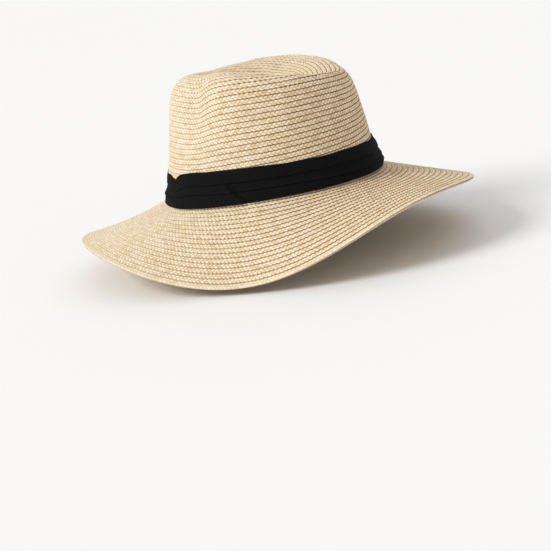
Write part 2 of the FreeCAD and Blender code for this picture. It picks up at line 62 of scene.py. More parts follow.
# changes to the ridge on the left: height, angle, spread
CREST = ((6.795, -27.48, 29.997), (-4.012, 50.156, 44.591))
LEFT_REACH, LEFT_TIGHT = 9.0, 0.5
# brim slope in degrees at the headline, and its change out to the edge:
# weights of 1, sin f, cos 2f, sin 3f, cos 4f, ...; then of cos f
BRIM_WIDTH = 87.426
SLOPE_WAVES = (28.486, -8.986, 11.527, -7.507, 0.533, -1.6, 0.24)
BEND_WAVES = (-3.71, 2.372, 5.138, -6.358, 3.753)
SLOPE_SIDE, BEND_SIDE = -12.171, 3.048
RIGHT_LEVEL, RIGHT_SKEW, BACK_RIGHT_DROP = 14.0, 0.5, 12.0
TIP_LIFT, TIP_ANGLE, TIP_SPREAD = 4.0, 70.0, 22.0  # the brim's upturn near the back


# ------------------------------------------------------------------ small functions
def smooth(x):
    x = np.clip(x, 0, 1)
    return x * x * (3 - 2 * x)


def bell(x, middle, spread):
    return np.exp(-(((x - middle) / spread) ** 2))


def round_off(distance, radius):
    """0 at an edge, rising along a quarter circle to 1 at `radius` from it."""
    return np.sqrt(1 - (1 - np.clip(distance / radius, 0, 1)) ** 2)


def sin_deg(degrees):
    return np.sin(np.radians(degrees))


def signed(degrees):
    return (degrees + 180) % 360 - 180


def round_angle(f):
    """Degrees round from the front, + towards the wearer's left."""
    return signed(np.degrees(f) + 90)


def unit(v):
    return v / np.maximum(np.linalg.norm(v, axis=-1, keepdims=True), 1e-12)


def turns_of(n):
    """n even angles round the hat, from the back."""
    return np.radians(90.0 + 360.0 * np.arange(n) / n)


def chance(*keys):
    """A fixed pseudo-random number in 0..1 for whole-number arguments."""
    x = sum(np.asarray(k, float) * m for k, m in zip(keys, (127.1, 311.7, 74.7, 19.19)))
    y = np.sin(x) * 43758.5453
    return y - np.floor(y)


def wobble(f, q, seed=0.0):
    """Slow smooth unevenness, about -1..1, that closes round the hat."""
    return (np.sin(7 * f + 1.3 * q + seed) + np.sin(11 * f - 2.1 * q + 1 + 2 * seed)
            + 0.7 * np.sin(19 * f + 2.9 * q + 2.2 * seed)
            + 0.5 * np.sin(31 * f - 0.9 * q + seed)) / 3.2


# ------------------------------------------------------------------ the hat's form
def head_line(f):
    return ARCH_SIDE * np.cos(f) ** 2 + ARCH_FRONT_BACK * np.sin(f) + ARCH_THIRD * np.sin(3 * f)


def three_way(f, side, front, back, wave=0.0):
    """Blend of the values at the sides, the front and the back."""
    to_front, to_back = np.maximum(-np.sin(f), 0) ** 2, np.maximum(np.sin(f), 0) ** 2
    return side * np.cos(f) ** 2 + front * to_front + back * to_back + wave * np.sin(3 * f)


def pinch(f):
    return PINCH_DEPTH * bell(np.abs(round_angle(f)), PINCH_ANGLE, PINCH_WIDTH)


def crest(f):
    """The left ridge is higher towards the front and lower towards the back than the right."""
    d = signed(np.degrees(f))
    return sum(height * bell(d, middle, spread) for height, middle, spread in CREST)


def wall(f, z):
    """Radius of the crown's wall at height z, before the oval is added."""
    up = z - head_line(f)
    swell = np.clip(BASE_SWELL * np.maximum(1 - up / BAND_ZONE, 0), 0, BASE_SWELL)
    dent = pinch(f) * smooth((z - PINCH_FOOT) / PINCH_RISE)
    return HEAD_RADIUS - three_way(f, **TAPER) * up - dent - swell


def at(f, r, z):
    f, r, z = np.broadcast_arrays(f, r, z)
    return np.stack([r * np.cos(f), (r + OVAL) * np.sin(f), z], -1)


def waves(f, weights):
    return sum(w * (np.sin if k % 2 else np.cos)(k * f) for k, w in enumerate(weights))


def slope(f, share):
    """Downward slope of the brim in radians at a share of its width."""
    right, back = np.maximum(-np.cos(f), 0), np.maximum(np.sin(f), 0)
    start = waves(f, SLOPE_WAVES) + SLOPE_SIDE * np.cos(f)
    start = start - RIGHT_LEVEL * right ** 2 * (1 - RIGHT_SKEW * np.sin(f))
    start = start + BACK_RIGHT_DROP * (right * back) ** 1.4
    change = waves(f, BEND_WAVES) + BEND_SIDE * np.cos(f)
    change = change - TIP_LIFT * bell(signed(np.degrees(f) - TIP_ANGLE), 0, TIP_SPREAD)
    return np.radians(start + change * share)


# ------------------------------------------------------------------ mesh helpers
def make_mesh(name, points, quads, uvs, tris=np.zeros((0, 3), int),
              tri_uvs=np.zeros((0, 3, 2)), cells=None):
    """A mesh object from hat-frame points, quads (F,4), triangles (T,3) and corner UVs.

    cells is the number of plait cells per turn, stored on every face."""
    used, inverse = np.unique(np.r_[quads.ravel(), tris.ravel()], return_inverse=True)
    co = (points[used] + REST) / 1000.0
    n_quad, n_tri = quads.size, tris.size
    quads, tris = inverse[:n_quad].reshape(-1, 4), inverse[n_quad:].reshape(-1, 3)
    p = co[quads]
    # signed volume decides which way the faces look
    volume = sum(np.einsum("ij,ij->i", p[:, 0], np.cross(p[:, k], p[:, k + 1])).sum()
                 for k in (1, 2))
    if volume < 0:
        quads, uvs, tris, tri_uvs = (a[:, ::-1] for a in (quads, uvs, tris, tri_uvs))
    loops = np.r_[quads.ravel(), tris.ravel()]
    starts = np.r_[np.arange(0, n_quad, 4), n_quad + np.arange(0, n_tri, 3)]
    totals = np.r_[np.full(len(quads), 4), np.full(len(tris), 3)]
    corner_uvs = np.r_[uvs.reshape(-1, 2), tri_uvs.reshape(-1, 2)]
    me = bpy.data.meshes.new(name)
    me.vertices.add(len(co))
    me.vertices.foreach_set("co", co.astype(np.float32).ravel())
    me.loops.add(len(loops))
    me.loops.foreach_set("vertex_index", loops.astype(np.int32))
    me.polygons.add(len(starts))
    me.polygons.foreach_set("loop_start", starts.astype(np.int32))
    me.polygons.foreach_set("loop_total", totals.astype(np.int32))
    me.polygons.foreach_set("use_smooth", np.ones(len(starts), bool))
    me.update(calc_edges=True)
    layer = me.uv_layers.new(name="OFBake")
    layer.data.foreach_set("uv", np.clip(corner_uvs, 0, 1).astype(np.float32).ravel())
    if cells is not None:
        attribute = me.attributes.new("cells", "FLOAT", "FACE")
        attribute.data.foreach_set("value", np.asarray(cells, np.float32).ravel())
    me.validate()
    o = bpy.data.objects.new(name, me)
    bpy.context.scene.collection.objects.link(o)
    return o


def uv_quads(u0, u1, v0, v1):
    corners = ((u0, v0), (u1, v0), (u1, v1), (u0, v1))
    return np.stack([np.stack(c, -1) for c in corners], -2).reshape(-1, 4, 2)


def lathe(name, grid, v, cells, poles=False):
    """A closed skin from grid (n round, m along its section), with v and cells per ring.

    The last ring joins the first, or with poles both end rings are folded shut."""
    n, m = grid.shape[:2]
    idx = np.arange(n * m).reshape(n, m)
    if poles:
        fold = np.minimum(np.arange(n), (n - np.arange(n)) % n)
        idx[:, 0] = idx[fold, 0]
        idx[:, -1] = idx[fold, -1]
    cols = np.arange(m - 1 if poles else m)
    following = (cols + 1) % m
    ahead = np.roll(idx, -1, 0)
    quads = np.stack([idx[:, cols], ahead[:, cols], ahead[:, following], idx[:, following]], -1)
    v1 = np.where(following == 0, 1.0, v[following])
    u = np.arange(n)[:, None] / n
    uvs = uv_quads(*np.broadcast_arrays(u, u + 1 / n, v[cols], v1))
    cells = np.broadcast_to(cells[cols], (n, len(cols)))
    return make_mesh(name, grid.reshape(-1, 3), quads.reshape(-1, 4), uvs, cells=cells)


def slab(name, face, back, closed, hole=None):
    """A closed skin between matching grids (n, m), face being the seen side.

    hole is a mask of cells cut through both."""
    n, m = face.shape[:2]
    front_ids = np.arange(n * m).reshape(n, m)
    back_ids = front_ids + n * m
    points = np.concatenate([face.reshape(-1, 3), back.reshape(-1, 3)])
    rows = n if closed else n - 1
    i, j = np.meshgrid(np.arange(rows), np.arange(m - 1), indexing="ij")
    i2 = (i + 1) % n
    keep = np.ones(i.shape, bool).ravel() if hole is None else ~hole.ravel()
    quads, uvs = [], []

    def put(a, b, c, d, u0, u1, v0, v1, mask=slice(None)):
        quads.append(np.stack([a, b, c, d], -1).reshape(-1, 4)[mask])
        uvs.append(uv_quads(u0, u1, v0, v1)[mask])

    # the face fills the lower half of the UV square, the back the upper half
    u, v = i / rows, j / (m - 1)
    u2, v2 = (i + 1) / rows, (j + 1) / (m - 1)
    put(front_ids[i, j], front_ids[i2, j], front_ids[i2, j + 1], front_ids[i, j + 1],
        u, u2, 0.48 * v, 0.48 * v2, keep)
    put(back_ids[i, j + 1], back_ids[i2, j + 1], back_ids[i2, j], back_ids[i, j],
        u, u2, 1 - 0.48 * v2, 1 - 0.48 * v, keep)
    k = np.arange(rows)
    k2 = (k + 1) % n
    zero = np.zeros(rows)
    u, u2 = k / rows, (k + 1) / rows
    put(back_ids[k, 0], back_ids[k2, 0], front_ids[k2, 0], front_ids[k, 0],
        u, u2, zero, zero + 0.002)
    put(front_ids[k, -1], front_ids[k2, -1], back_ids[k2, -1], back_ids[k, -1],
        u, u2, zero + 0.48, zero + 0.52)
    if not closed:
        k = np.arange(m - 1)
        v = k / (m - 1) * 0.48
        v2 = (k + 1) / (m - 1) * 0.48
        zero = np.zeros(m - 1)
        put(front_ids[0, k], front_ids[0, k + 1], back_ids[0, k + 1], back_ids[0, k],
            zero, zero + 0.001, v, v2)
        put(back_ids[-1, k], back_ids[-1, k + 1], front_ids[-1, k + 1], front_ids[-1, k],
            zero + 0.999, zero + 1, v, v2)
    if hole is not None:
        for a, b in zip(*np.nonzero(hole)):
            a2 = (a + 1) % n
            # step to each neighbour, and the two ends of the edge shared with it
            sides = (((-1, 0), (a, b + 1), (a, b)), ((1, 0), (a2, b), (a2, b + 1)),
                     ((0, -1), (a, b), (a2, b)), ((0, 1), (a2, b + 1), (a, b + 1)))
            for (da, db), p, r in sides:
                if not hole[(a + da) % rows, b + db]:
                    quads.append(np.array([[front_ids[r], front_ids[p],
                                            back_ids[p], back_ids[r]]]))
                    uvs.append(np.array([[[a / rows, 0.48 * b / (m - 1)]] * 4]))
    return make_mesh(name, points, np.concatenate(quads), np.concatenate(uvs))


def grid_normals(grid, column):
    """Unit normals of a grid closed round the hat, turned to look up at the given column."""
    across = np.roll(grid, -1, 0) - np.roll(grid, 1, 0)
    normals = unit(np.cross(across, np.gradient(grid, axis=1)))
    return -normals if normals[10, column, 2] < 0 else normals


def resample(line, where):
    """Points at the lengths `where` (n, m) along each polyline (n, k, 3), kept on the line."""
    step = np.linalg.norm(np.diff(line, axis=1), axis=-1)
    dist = np.concatenate([np.zeros((len(line), 1)), np.cumsum(step, 1)], 1)
    out = np.empty((len(line), where.shape[1], 3))
    for i in range(len(line)):
        for c in range(3):
            out[i, :, c] = np.interp(where[i], dist[i], line[i, :, c])
    return out


def lengths(line):
    return np.linalg.norm(np.diff(line, axis=1), axis=-1).sum(1)


# ------------------------------------------------------------------ node-graph helper
class Sock:
    """An output socket; arithmetic on it adds Math nodes."""

    def __init__(self, graph, socket):
        self.graph, self.socket = graph, socket

    def __add__(self, o): return self.graph.op("ADD", self, o)
    def __radd__(self, o): return self.graph.op("ADD", o, self)
    def __sub__(self, o): return self.graph.op("SUBTRACT", self, o)
    def __rsub__(self, o): return self.graph.op("SUBTRACT", o, self)
    def __mul__(self, o): return self.graph.op("MULTIPLY", self, o)
    def __pow__(self, o): return self.graph.op("POWER", self, o)
    def __gt__(self, o): return self.graph.op("GREATER_THAN", self, o)
    def floor(self): return self.graph.op("FLOOR", self)
    def fract(self): return self.graph.op("FRACT", self)
    def abs(self): return self.graph.op("ABSOLUTE", self)
    def sin(self): return self.graph.op("SINE", self)


class Material:
    """A material with one Principled shader."""

    def __init__(self, name, rough=0.6, metal=0.0, spec=0.5):
        self.data = bpy.data.materials.new(name)
        self.data.use_nodes = True
        self.tree = self.data.node_tree
        self.tree.nodes.clear()
        out = self.tree.nodes.new("ShaderNodeOutputMaterial")
        shader = self.tree.nodes.new("ShaderNodeBsdfPrincipled")
        self.tree.links.new(shader.outputs["BSDF"], out.inputs["Surface"])
        self.inputs = shader.inputs
        self.set("Roughness", rough)
        self.set("Metallic", metal)
        self.set("Specular IOR Level", spec)

    def put(self, socket, value):
        if isinstance(value, Sock):
            self.tree.links.new(value.socket, socket)
        else:
            socket.default_value = value

    def set(self, name, value):
        """Gives a value or a link to an input of the shader."""
        self.put(self.inputs[name], value)

    def node(self, kind, inputs, output=0, **settings):
        node = self.tree.nodes.new("ShaderNode" + kind)
        for key, value in settings.items():
            setattr(node, key, value)
        for key, value in inputs.items():
            self.put(node.inputs[key], value)
        return Sock(self, node.outputs[output])

    def op(self, kind, *values):
        return self.node("Math", dict(enumerate(values)), operation=kind)

    def uv(self):
        uv_map = self.node("UVMap", {}, uv_map="OFBake")
        u = self.node("SeparateXYZ", {0: uv_map})
        return u, Sock(self, u.socket.node.outputs[1])

    def place(self):
        return self.node("TexCoord", {}, "Object")

    def attr(self, name):
        return self.node("Attribute", {}, "Fac", attribute_name=name)

    def vec(self, x, y, z=0.0):
        return self.node("CombineXYZ", {0: x, 1: y, 2: z})

    def scaled(self, v, factors=(1, 1, 1)):
        return self.node("VectorMath", {0: v, 1: factors}, operation="MULTIPLY")

    def white(self, v):
        return self.node("TexWhiteNoise", {"Vector": v}, "Value", noise_dimensions="3D")

    def noise(self, v, scale, detail=2.0, rough=0.5):
        inputs = {"Vector": v, "Scale": scale, "Detail": detail, "Roughness": rough}
        return self.node("TexNoise", inputs, "Fac")

    def ramp(self, x, start, end):
        inputs = {"Value": x, "From Min": start, "From Max": end}
        return self.node("MapRange", inputs, "Result", interpolation_type="SMOOTHSTEP")

    def mix(self, share, a, b):
        a, b = (c if isinstance(c, Sock) else (*c, 1) for c in (a, b))
        return self.node("Mix", {"Factor": share, 6: a, 7: b}, 2, data_type="RGBA")

    def bump(self, height, distance, strength):
        inputs = {"Distance": distance, "Strength": strength, "Height": height}
        self.set("Normal", self.node("Bump", inputs))


# ------------------------------------------------------------------ straw braid
# samples across one row of braid, and the face's height there and at the row's end
FACE_CUTS = np.array([0, 0.06, 0.13, 0.26, 0.42, 0.5, 0.62, 0.78, 0.88, 0.95])
FACE_HEIGHTS = [-1, -0.66, -0.3, -0.08, -0.03, -0.14, -0.02, 0.1, -0.05, -0.5, -1]
BACK_CUTS = np.array([0, 0.2, 0.6])


def row_places(rows, cuts):
    q = (np.arange(0, rows)[:, None] + cuts[None, :]).ravel()
    return np.append(q, float(rows))


def cells_per_row(grid, rows, size):
    """Whole plait cells of about `size` mm round the middle of each row."""
    ring = np.linalg.norm(np.roll(grid, -1, 0) - grid, axis=-1).sum(0)
    return np.maximum(np.round(ring[np.arange(rows) * len(FACE_CUTS) + 5] / size), 6)


def by_row(values, q):
    return values[np.minimum(np.floor(q + 1e-9).astype(int), len(values) - 1)]


def braid(q, cells, f, seed, amp, deep):
    """Height of the braid's face over the sheet at row coordinates q (m,) and angles f (n,).

    cells is the plait cells per turn (m,), amp the pillowing of a cell, deep the row's depth."""
    k = np.floor(q + 1e-9)
    v = q - k
    profile = np.interp(v, np.append(FACE_CUTS, 1), FACE_HEIGHTS) * deep
    half = (v >= 0.5).astype(float)
    lean = np.where(half > 0, -(v - 0.75), v - 0.25) * 0.8
    u = ((f - math.pi / 2) % TAU) / TAU
    c = u[:, None] * cells[None, :] + 0.5 * half + lean
    t = c - np.floor(c)
    cell = np.mod(np.floor(c), cells[None, :])
    pillow = 1 - np.abs(2 * t - 1) ** 3
    inside = (smooth(v / 0.15) * smooth((1 - v) / 0.1))[None, :]
    uneven = chance(k[None, :] + seed, cell, half[None, :])
    relief = (0.35 + 0.65 * inside) * amp * (pillow - 1) * (v > 0)
    return profile[None, :] + relief - 0.1 * uneven * inside


def braid_back(grid, normals, q, cells, f, seed):
    """The braid's flatter underside, one straw thickness below the sheet."""
    relief = braid(q, cells, f, seed, amp=0.12, deep=0.3) * 0.8
    return grid - normals * (STRAW + relief - 0.06)[..., None]


# ---- crown
CROWN_TURN = 864
CROWN_ROWS = 38
# degrees from the front, mm the sewn rows climb up the wall there (less LIFT_BASE)
LIFT_AT = [0, 15, 30, 40, 50, 58, 65, 90, 115, 130, 145, 165, 180]
LIFT = [4.2, 4.2, 4.0, 3.4, 2.4, 1.9, 2.1, 4.4, 8.2, 10.6, 13.4, 17.2, 18.2]
LIFT_BASE = 6.0


def crown_lines(f, n=150):
    """Meridians of the crown from the tip outward and down to the foot, (len(f), k, 3)."""
    f = f[:, None]
    top = three_way(f, **RIDGE) + crest(f)
    left = np.maximum(np.cos(f), 0) ** 2
    reach = three_way(f, **REACH) + LEFT_REACH * left
    foot = head_line(f) + 0.5
    shoulder_z = top - SHOULDER * 1.6 * (1 - LEFT_TIGHT * left)
    s = np.linspace(0, 1, n)[None, :]
    wall_z = foot + (shoulder_z - foot) * s
    wall_r = wall(f, wall_z)
    # the shoulder is a quadratic curve whose corner carries on the wall's lean
    shoulder_r = wall(f, shoulder_z)
    fall = shoulder_r - wall(f, shoulder_z - 1.0)
    corner = shoulder_r + fall * (top - shoulder_z)
    ridge = np.minimum(reach - 0.7 * pinch(f), corner - 4)
    a, b, c = (1 - s) ** 2, 2 * s * (1 - s), s * s
    turn_r = a * shoulder_r + b * corner + c * ridge
    turn_z = a * shoulder_z + (b + c) * top
    # inside the ridge the top sinks to one level round the tip
    low = RIDGE["side"] - DENT_DEPTH
    last = 1 - TIP_RADIUS / ridge
    dent_r = ridge * (1 - s)
    sunk = np.minimum(s * s * (3 - 2 * s) / (last * last * (3 - 2 * last)), 1.0)
    dent_z = top - (top - low) * sunk
    r = np.concatenate([wall_r, turn_r[:, 1:], dent_r[:, 1:]], 1)[:, ::-1]
    z = np.concatenate([wall_z, turn_z[:, 1:], dent_z[:, 1:]], 1)[:, ::-1]
    return at(f, r, z)


def row_lift(f):
    """How far the rows climb up the wall in mm: higher towards the back than the band does."""
    d = np.abs(round_angle(f))
    blurred = sum(np.interp(np.abs(d + k), LIFT_AT, LIFT) for k in (-12, -6, 0, 6, 12)) / 5
    return blurred - LIFT_BASE


def build_crown():
    f = turns_of(CROWN_TURN)
    line = crown_lines(f)
    total = lengths(line)[:, None]

    def sheet(q):
        ease = np.clip(np.minimum(q / 2, (CROWN_ROWS - q) / 2), 0, 1)
        stray = 0.05 * wobble(f[:, None], q[None, :]) * ease[None, :]
        where = (q[None, :] + stray) / CROWN_ROWS * total
        lifted = smooth(q / 11.0) * smooth((CROWN_ROWS - q) / 6.5)
        where = where - row_lift(f)[:, None] * lifted[None, :]
        grid = resample(line, np.clip(where, 0, total))
        normals = grid_normals(grid, 20)
        normals[:, 0] = (0, 0, 1)
        up = grid[..., 2] - head_line(f)[:, None]
        # pressed straw is never quite even: slow dimples above the band, easing out at the tip
        soft = smooth((up - 38) / 14) * smooth(q[None, :] / 5)
        dimples = 0.38 * wobble(f[:, None], q[None, :] * 0.21, 2.0) * soft
        return grid + normals * dimples[..., None], normals

    face_q, back_q = row_places(CROWN_ROWS, FACE_CUTS), row_places(CROWN_ROWS, BACK_CUTS)
    face, face_normals = sheet(face_q)
    back, back_normals = sheet(back_q)
    row_cells = cells_per_row(face, CROWN_ROWS, 4.0)
    row_cells[row_cells > 128] = 144
    face_cells, back_cells = by_row(row_cells, face_q), by_row(row_cells, back_q)
    # rows lie flatter in the hollow on top than down the wall
    deep = 0.36 + 0.4 * smooth((face_q - 9) / 8)
    relief = braid(face_q, face_cells, f, 3, amp=0.27, deep=deep)
    outer = face + face_normals * relief[..., None]
    inner = braid_back(back, back_normals, back_q, back_cells, f, 51)
    grid = np.concatenate([outer, inner[:, ::-1]], 1)
    v = np.r_[0.5 * face_q / CROWN_ROWS * 0.999, 1 - 0.5 * back_q[::-1] / CROWN_ROWS * 0.999]
    return lathe("crown_straw", grid, v, np.r_[face_cells, back_cells[::-1]], poles=True)


# ---- brim
BRIM_TURN = 1440
BRIM_ROWS = 19  # the first two and a half stand up as the collar, behind the band
BRIM_STEPS = 120
COLLAR_FACE = 0.1 + STRAW  # the collar's outer face stands this far off the crown's wall


def brim_profile(f):
    """Radius and height of the brim's upper face at even steps out, for angles f (n, 1)."""
    fall = slope(f, np.linspace(0, 1, BRIM_STEPS + 1)[None, :])
    step = BRIM_WIDTH / BRIM_STEPS

    def run(rate):
        parts = step * (rate[:, :-1] + rate[:, 1:]) / 2
        return np.concatenate([np.zeros((len(f), 1)), np.cumsum(parts, 1)], 1)

    return HEAD_RADIUS + run(np.cos(fall)), head_line(f) - run(np.sin(fall))


def brim_lines(f):
    """Meridians of the brim's upper face: collar top down, round the corner and out."""
    f = f[:, None]
    r, z = brim_profile(f)
    base = head_line(f)
    line_r, line_z = [], []
    for up in (6.5, 5.2, 4.0, 2.9):
        line_r.append(wall(f, base + up) + COLLAR_FACE)
        line_z.append(base + up)
    r0, z0 = line_r[-1], line_z[-1]
    r1, z1 = wall(f, base) + COLLAR_FACE + 0.05, base + 0.55
    r2, z2 = r[:, 6:7], z[:, 6:7]
    for t in np.linspace(0, 1, 9)[1:]:
        line_r.append((1 - t) ** 2 * r0 + 2 * t * (1 - t) * r1 + t * t * r2)
        line_z.append((1 - t) ** 2 * z0 + 2 * t * (1 - t) * z1 + t * t * z2)
    return at(f, np.concatenate(line_r + [r[:, 7:]], 1), np.concatenate(line_z + [z[:, 7:]], 1))


def build_brim():
    f = turns_of(BRIM_TURN)
    line = brim_lines(f)
    total = lengths(line)[:, None]
    pitch = BRIM_WIDTH / 17
    lead = total - 16 * pitch  # length before the first full row

    def sheet(q):
        ease = np.clip(np.minimum((q - 3) / 2, (BRIM_ROWS - q) / 1.5), 0, 1)
        q = q[None, :] + 0.045 * wobble(f[:, None], q[None, :], 5.0) * ease[None, :]
        where = np.where(q < 3, lead * q / 3, lead + (q - 3) * pitch)
        grid = resample(line, np.clip(where, 0, total))
        return grid, grid_normals(grid, -5)

    face_q, back_q = row_places(BRIM_ROWS, FACE_CUTS), row_places(BRIM_ROWS, BACK_CUTS)
    face, face_normals = sheet(face_q)
    back, back_normals = sheet(back_q)
    row_cells = cells_per_row(face, BRIM_ROWS, 3.7)
    face_cells, back_cells = by_row(row_cells, face_q), by_row(row_cells, back_q)
    relief = braid(face_q, face_cells, f, 17, amp=0.30, deep=0.36)
    relief = relief * (1 - 0.6 * smooth((face_q - BRIM_ROWS + 1.0) / 0.5))
    relief[:, -1] = -0.3
    outer = face + face_normals * relief[..., None]
    inner = braid_back(back, back_normals, back_q, back_cells, f, 71)
    inner[:, -1] = back[:, -1] - back_normals[:, -1] * 1.25
    # rounded outer edge of the last row: depth below the face, distance outward
    away = unit(face[:, -1] - face[:, -3])
    lip = np.stack([face[:, -1] - face_normals[:, -1] * depth + away * out
                    for depth, out in ((0.5, 0.2), (0.78, 0.26), (1.05, 0.2))], 1)
    grid = np.concatenate([outer, lip, inner[:, ::-1]], 1)
    v = np.r_[0.5 * face_q / BRIM_ROWS * 0.996, [0.4985, 0.5, 0.5015],
              1 - 0.5 * back_q[::-1] / BRIM_ROWS * 0.996]
    cells = np.r_[face_cells, [row_cells[-1]] * 3, back_cells[::-1]]
    return lathe("brim_straw", grid, v, cells)


# ---- facing braid under the edge
# section of the facing: mm in from the brim's edge, mm below its underside
FACING_SECTION = [
    (7.5, 0.06), (6.7, 0.12), (5.5, 0.95), (3.8, 1.45),
    (2.6, 1.5), (1.5, 1.45), (0.5, 0.85), (0.1, 0.3),
]


def brim_upper(f, share):
    """Points of the brim's upper face at shares of its width, for angles f (n, 1)."""
    r, z = brim_profile(f)
    k = share * BRIM_STEPS
    i = np.minimum(np.floor(k).astype(int), BRIM_STEPS - 1)
    t = (k - i)[None, :]
    return at(f, r[:, i] * (1 - t) + r[:, i + 1] * t, z[:, i] * (1 - t) + z[:, i + 1] * t)


def under_edge(f, inset, gap):
    """Points `inset` from the brim's edge and `gap` below its underside, and normals down."""
    f = f[:, None]
    share = 1 - inset / BRIM_WIDTH
    across = brim_upper(f + 0.004, share) - brim_upper(f - 0.004, share)
    along = brim_upper(f, np.minimum(share + 0.02, 1.0)) - brim_upper(f, share - 0.02)
    normals = unit(np.cross(across, along))
    normals = np.where(normals[..., 2:3] > 0, -normals, normals)
    return brim_upper(f, share) + normals * (STRAW + gap[None, :, None]), normals


def build_facing():
    f = turns_of(BRIM_TURN)
    insets, gaps = np.array(FACING_SECTION).T
    dist = np.r_[0, np.cumsum(np.hypot(np.diff(insets), np.diff(gaps)))]
    t = np.linspace(0, dist[-1], 29)
    inset, gap = np.interp(t, dist, insets), np.interp(t, dist, gaps)
    for _ in range(2):  # ease the corners of the channel
        gap[1:-1] = (gap[:-2] + 2 * gap[1:-1] + gap[2:]) / 4
    near, normals = under_edge(f, inset, gap)
    q = np.clip(np.linspace(0, 2, len(t)), 0, 1.999)
    cells = np.full(len(t), 290.0)
    relief = braid(q + 30, cells, f, 91, amp=0.14, deep=0.3)
    relief[:, [0, -1]] = -0.5
    far = near + normals * (0.8 + relief)[..., None]
    v = 0.5 * np.linspace(0, 1, len(t)) * 0.996
    grid = np.concatenate([far, near[:, ::-1]], 1)
    return lathe("edge_facing_straw", grid, np.r_[v, (1 - v)[::-1]], np.r_[cells, cells])


# ------------------------------------------------------------------ pleated band
# the slanted tuck at the end of the band: angle at its foot, degrees it leans over the height
TUCK_FOOT, TUCK_LEAN = -19.5, 14.0
BAND_SAMPLES = 80
LEAST_CLOTH = 0.15


def band_back(up):
    """Distance from the crown's wall to the back of the band: it passes over the collar."""
    above = smooth((up - 7.5) / 8.0)
    return 2.45 * (1 - above) + 0.15 * above


def folds(f):
    """The lower and upper fold as shares of the band's height, wandering round the hat."""
    d = np.degrees(f)
    upper = 0.635 + 0.03 * sin_deg(1.5 * d + 40) + 0.018 * sin_deg(4 * d)
    lower = 0.325 + 0.05 * sin_deg(2 * d + 165) + 0.022 * sin_deg(5 * d + 30)
    return lower, upper


def pleats(f, s):
    """Thickness of the folded cloth at share s: three laps, fullest just above their folds."""
    lower, upper = folds(f)
    depth = 1.4 * (1 - 0.42 * bell(round_angle(f), 0, 24.0))  # pulled tight over the front
    thick = 0.8
    for foot, top, size in ((upper, 1.0, 1.0), (lower, upper, 1.12), (0.0, lower, 0.8)):
        x = (s - foot) / np.maximum(top - foot, 1e-6)
        inside = (s >= foot) & (s <= top)
        lap = (1 - np.clip(x, 0, 1)) ** 0.8 * smooth((s - foot) / 0.016)
        thick = thick + np.where(inside, size * depth * lap, 0)
    return thick


def creases(f, s, seed=0.0):
    """Fine pulled wrinkles that run mostly along the band."""
    d = np.degrees(f)
    return (0.10 * sin_deg(9 * d + 520 * s + 60 * sin_deg(5 * d + seed))
            + 0.09 * sin_deg(4 * d - 900 * s + 80 * sin_deg(3 * d - seed) + 50)
            + 0.045 * sin_deg(23 * d + 1300 * s + seed)
            + 0.025 * sin_deg(61 * d + 700 * s + 90 * sin_deg(7 * d) + seed))


def band_edges(f):
    """Lower and upper edge of the band above the headline."""
    d = round_angle(f)
    from_back = np.abs(np.abs(d) - 180)
    # the upper edge dips twice near the front, at the back and along the left
    dip = 6.3 * bell(d, 22.5, 9.5) + 4.3 * bell(d, -3.0, 13.0) + 3.0 * bell(from_back, 0, 30.0)
    dip = dip + 2.5 * smooth((d - 64) / 32) * (1 - smooth((d - 150) / 30))
    dip = dip + 0.35 * sin_deg(7 * d) + 0.2 * sin_deg(16 * d + 50)
    foot = 1.6 - 0.8 * (1 - smooth((np.abs(d - 12) - 62) / 25)) + 0.2 * sin_deg(6 * d + 20)
    return foot, 33.2 - dip


def band_thick(f, s):
    """Thickness of the finished band at share s of its height, rounded at both edges."""
    d = round_angle(f)
    from_back = np.abs(d) - 180
    thick = pleats(f, s) + creases(f, s)
    # lumps where the folds gather: at the back, and under the folded end near the front
    thick = thick + 1.3 * bell(from_back, -6, 7) * bell(s, 0.40, 0.06)
    thick = thick + 1.5 * bell(from_back, -3, 9) * bell(s, 0.17, 0.08)
    thick = thick + 0.4 * bell(d, -1, 8) * bell(s, 0.36, 0.2)
    # the cloth is drawn in beside the slanted tuck
    tuck = 90 + TUCK_FOOT - TUCK_LEAN * s
    thick = thick - 1.15 * bell(d - tuck, 1.6, 1.5) * (1 - smooth((s - 0.5) / 0.16))
    # and fuller over the back
    full = 1 - np.abs(np.clip(2.1 * s - 0.95, -1, 1)) ** 3
    thick = thick + 1.5 * smooth((np.abs(d) - 118) / 40) * full
    edge = round_off(np.minimum(s, 1 - s) * 31, 1.0)
    return LEAST_CLOTH + (thick - LEAST_CLOTH) * edge


def crowd(even, f):
    """Shares crowded at the two folds, so that their undercut edges are crisp."""
    s = even + 0.0 * f
    for fold in folds(f):
        s = s - 0.016 * np.sin(np.clip((even - fold) / 0.09, -1, 1) * math.pi)
    return np.clip(s, 0, 1)


def build_band():
    f = turns_of(900)[:, None]
    s = crowd(np.linspace(0, 1, BAND_SAMPLES)[None, :], f)
    low, high = band_edges(f)
    up = low + (high - low) * s
    z = head_line(f) + up
    r = wall(f, z) + band_back(up)
    return slab("band_cloth", at(f, r + band_thick(f, s), z), at(f, r + 0.02, z), True)


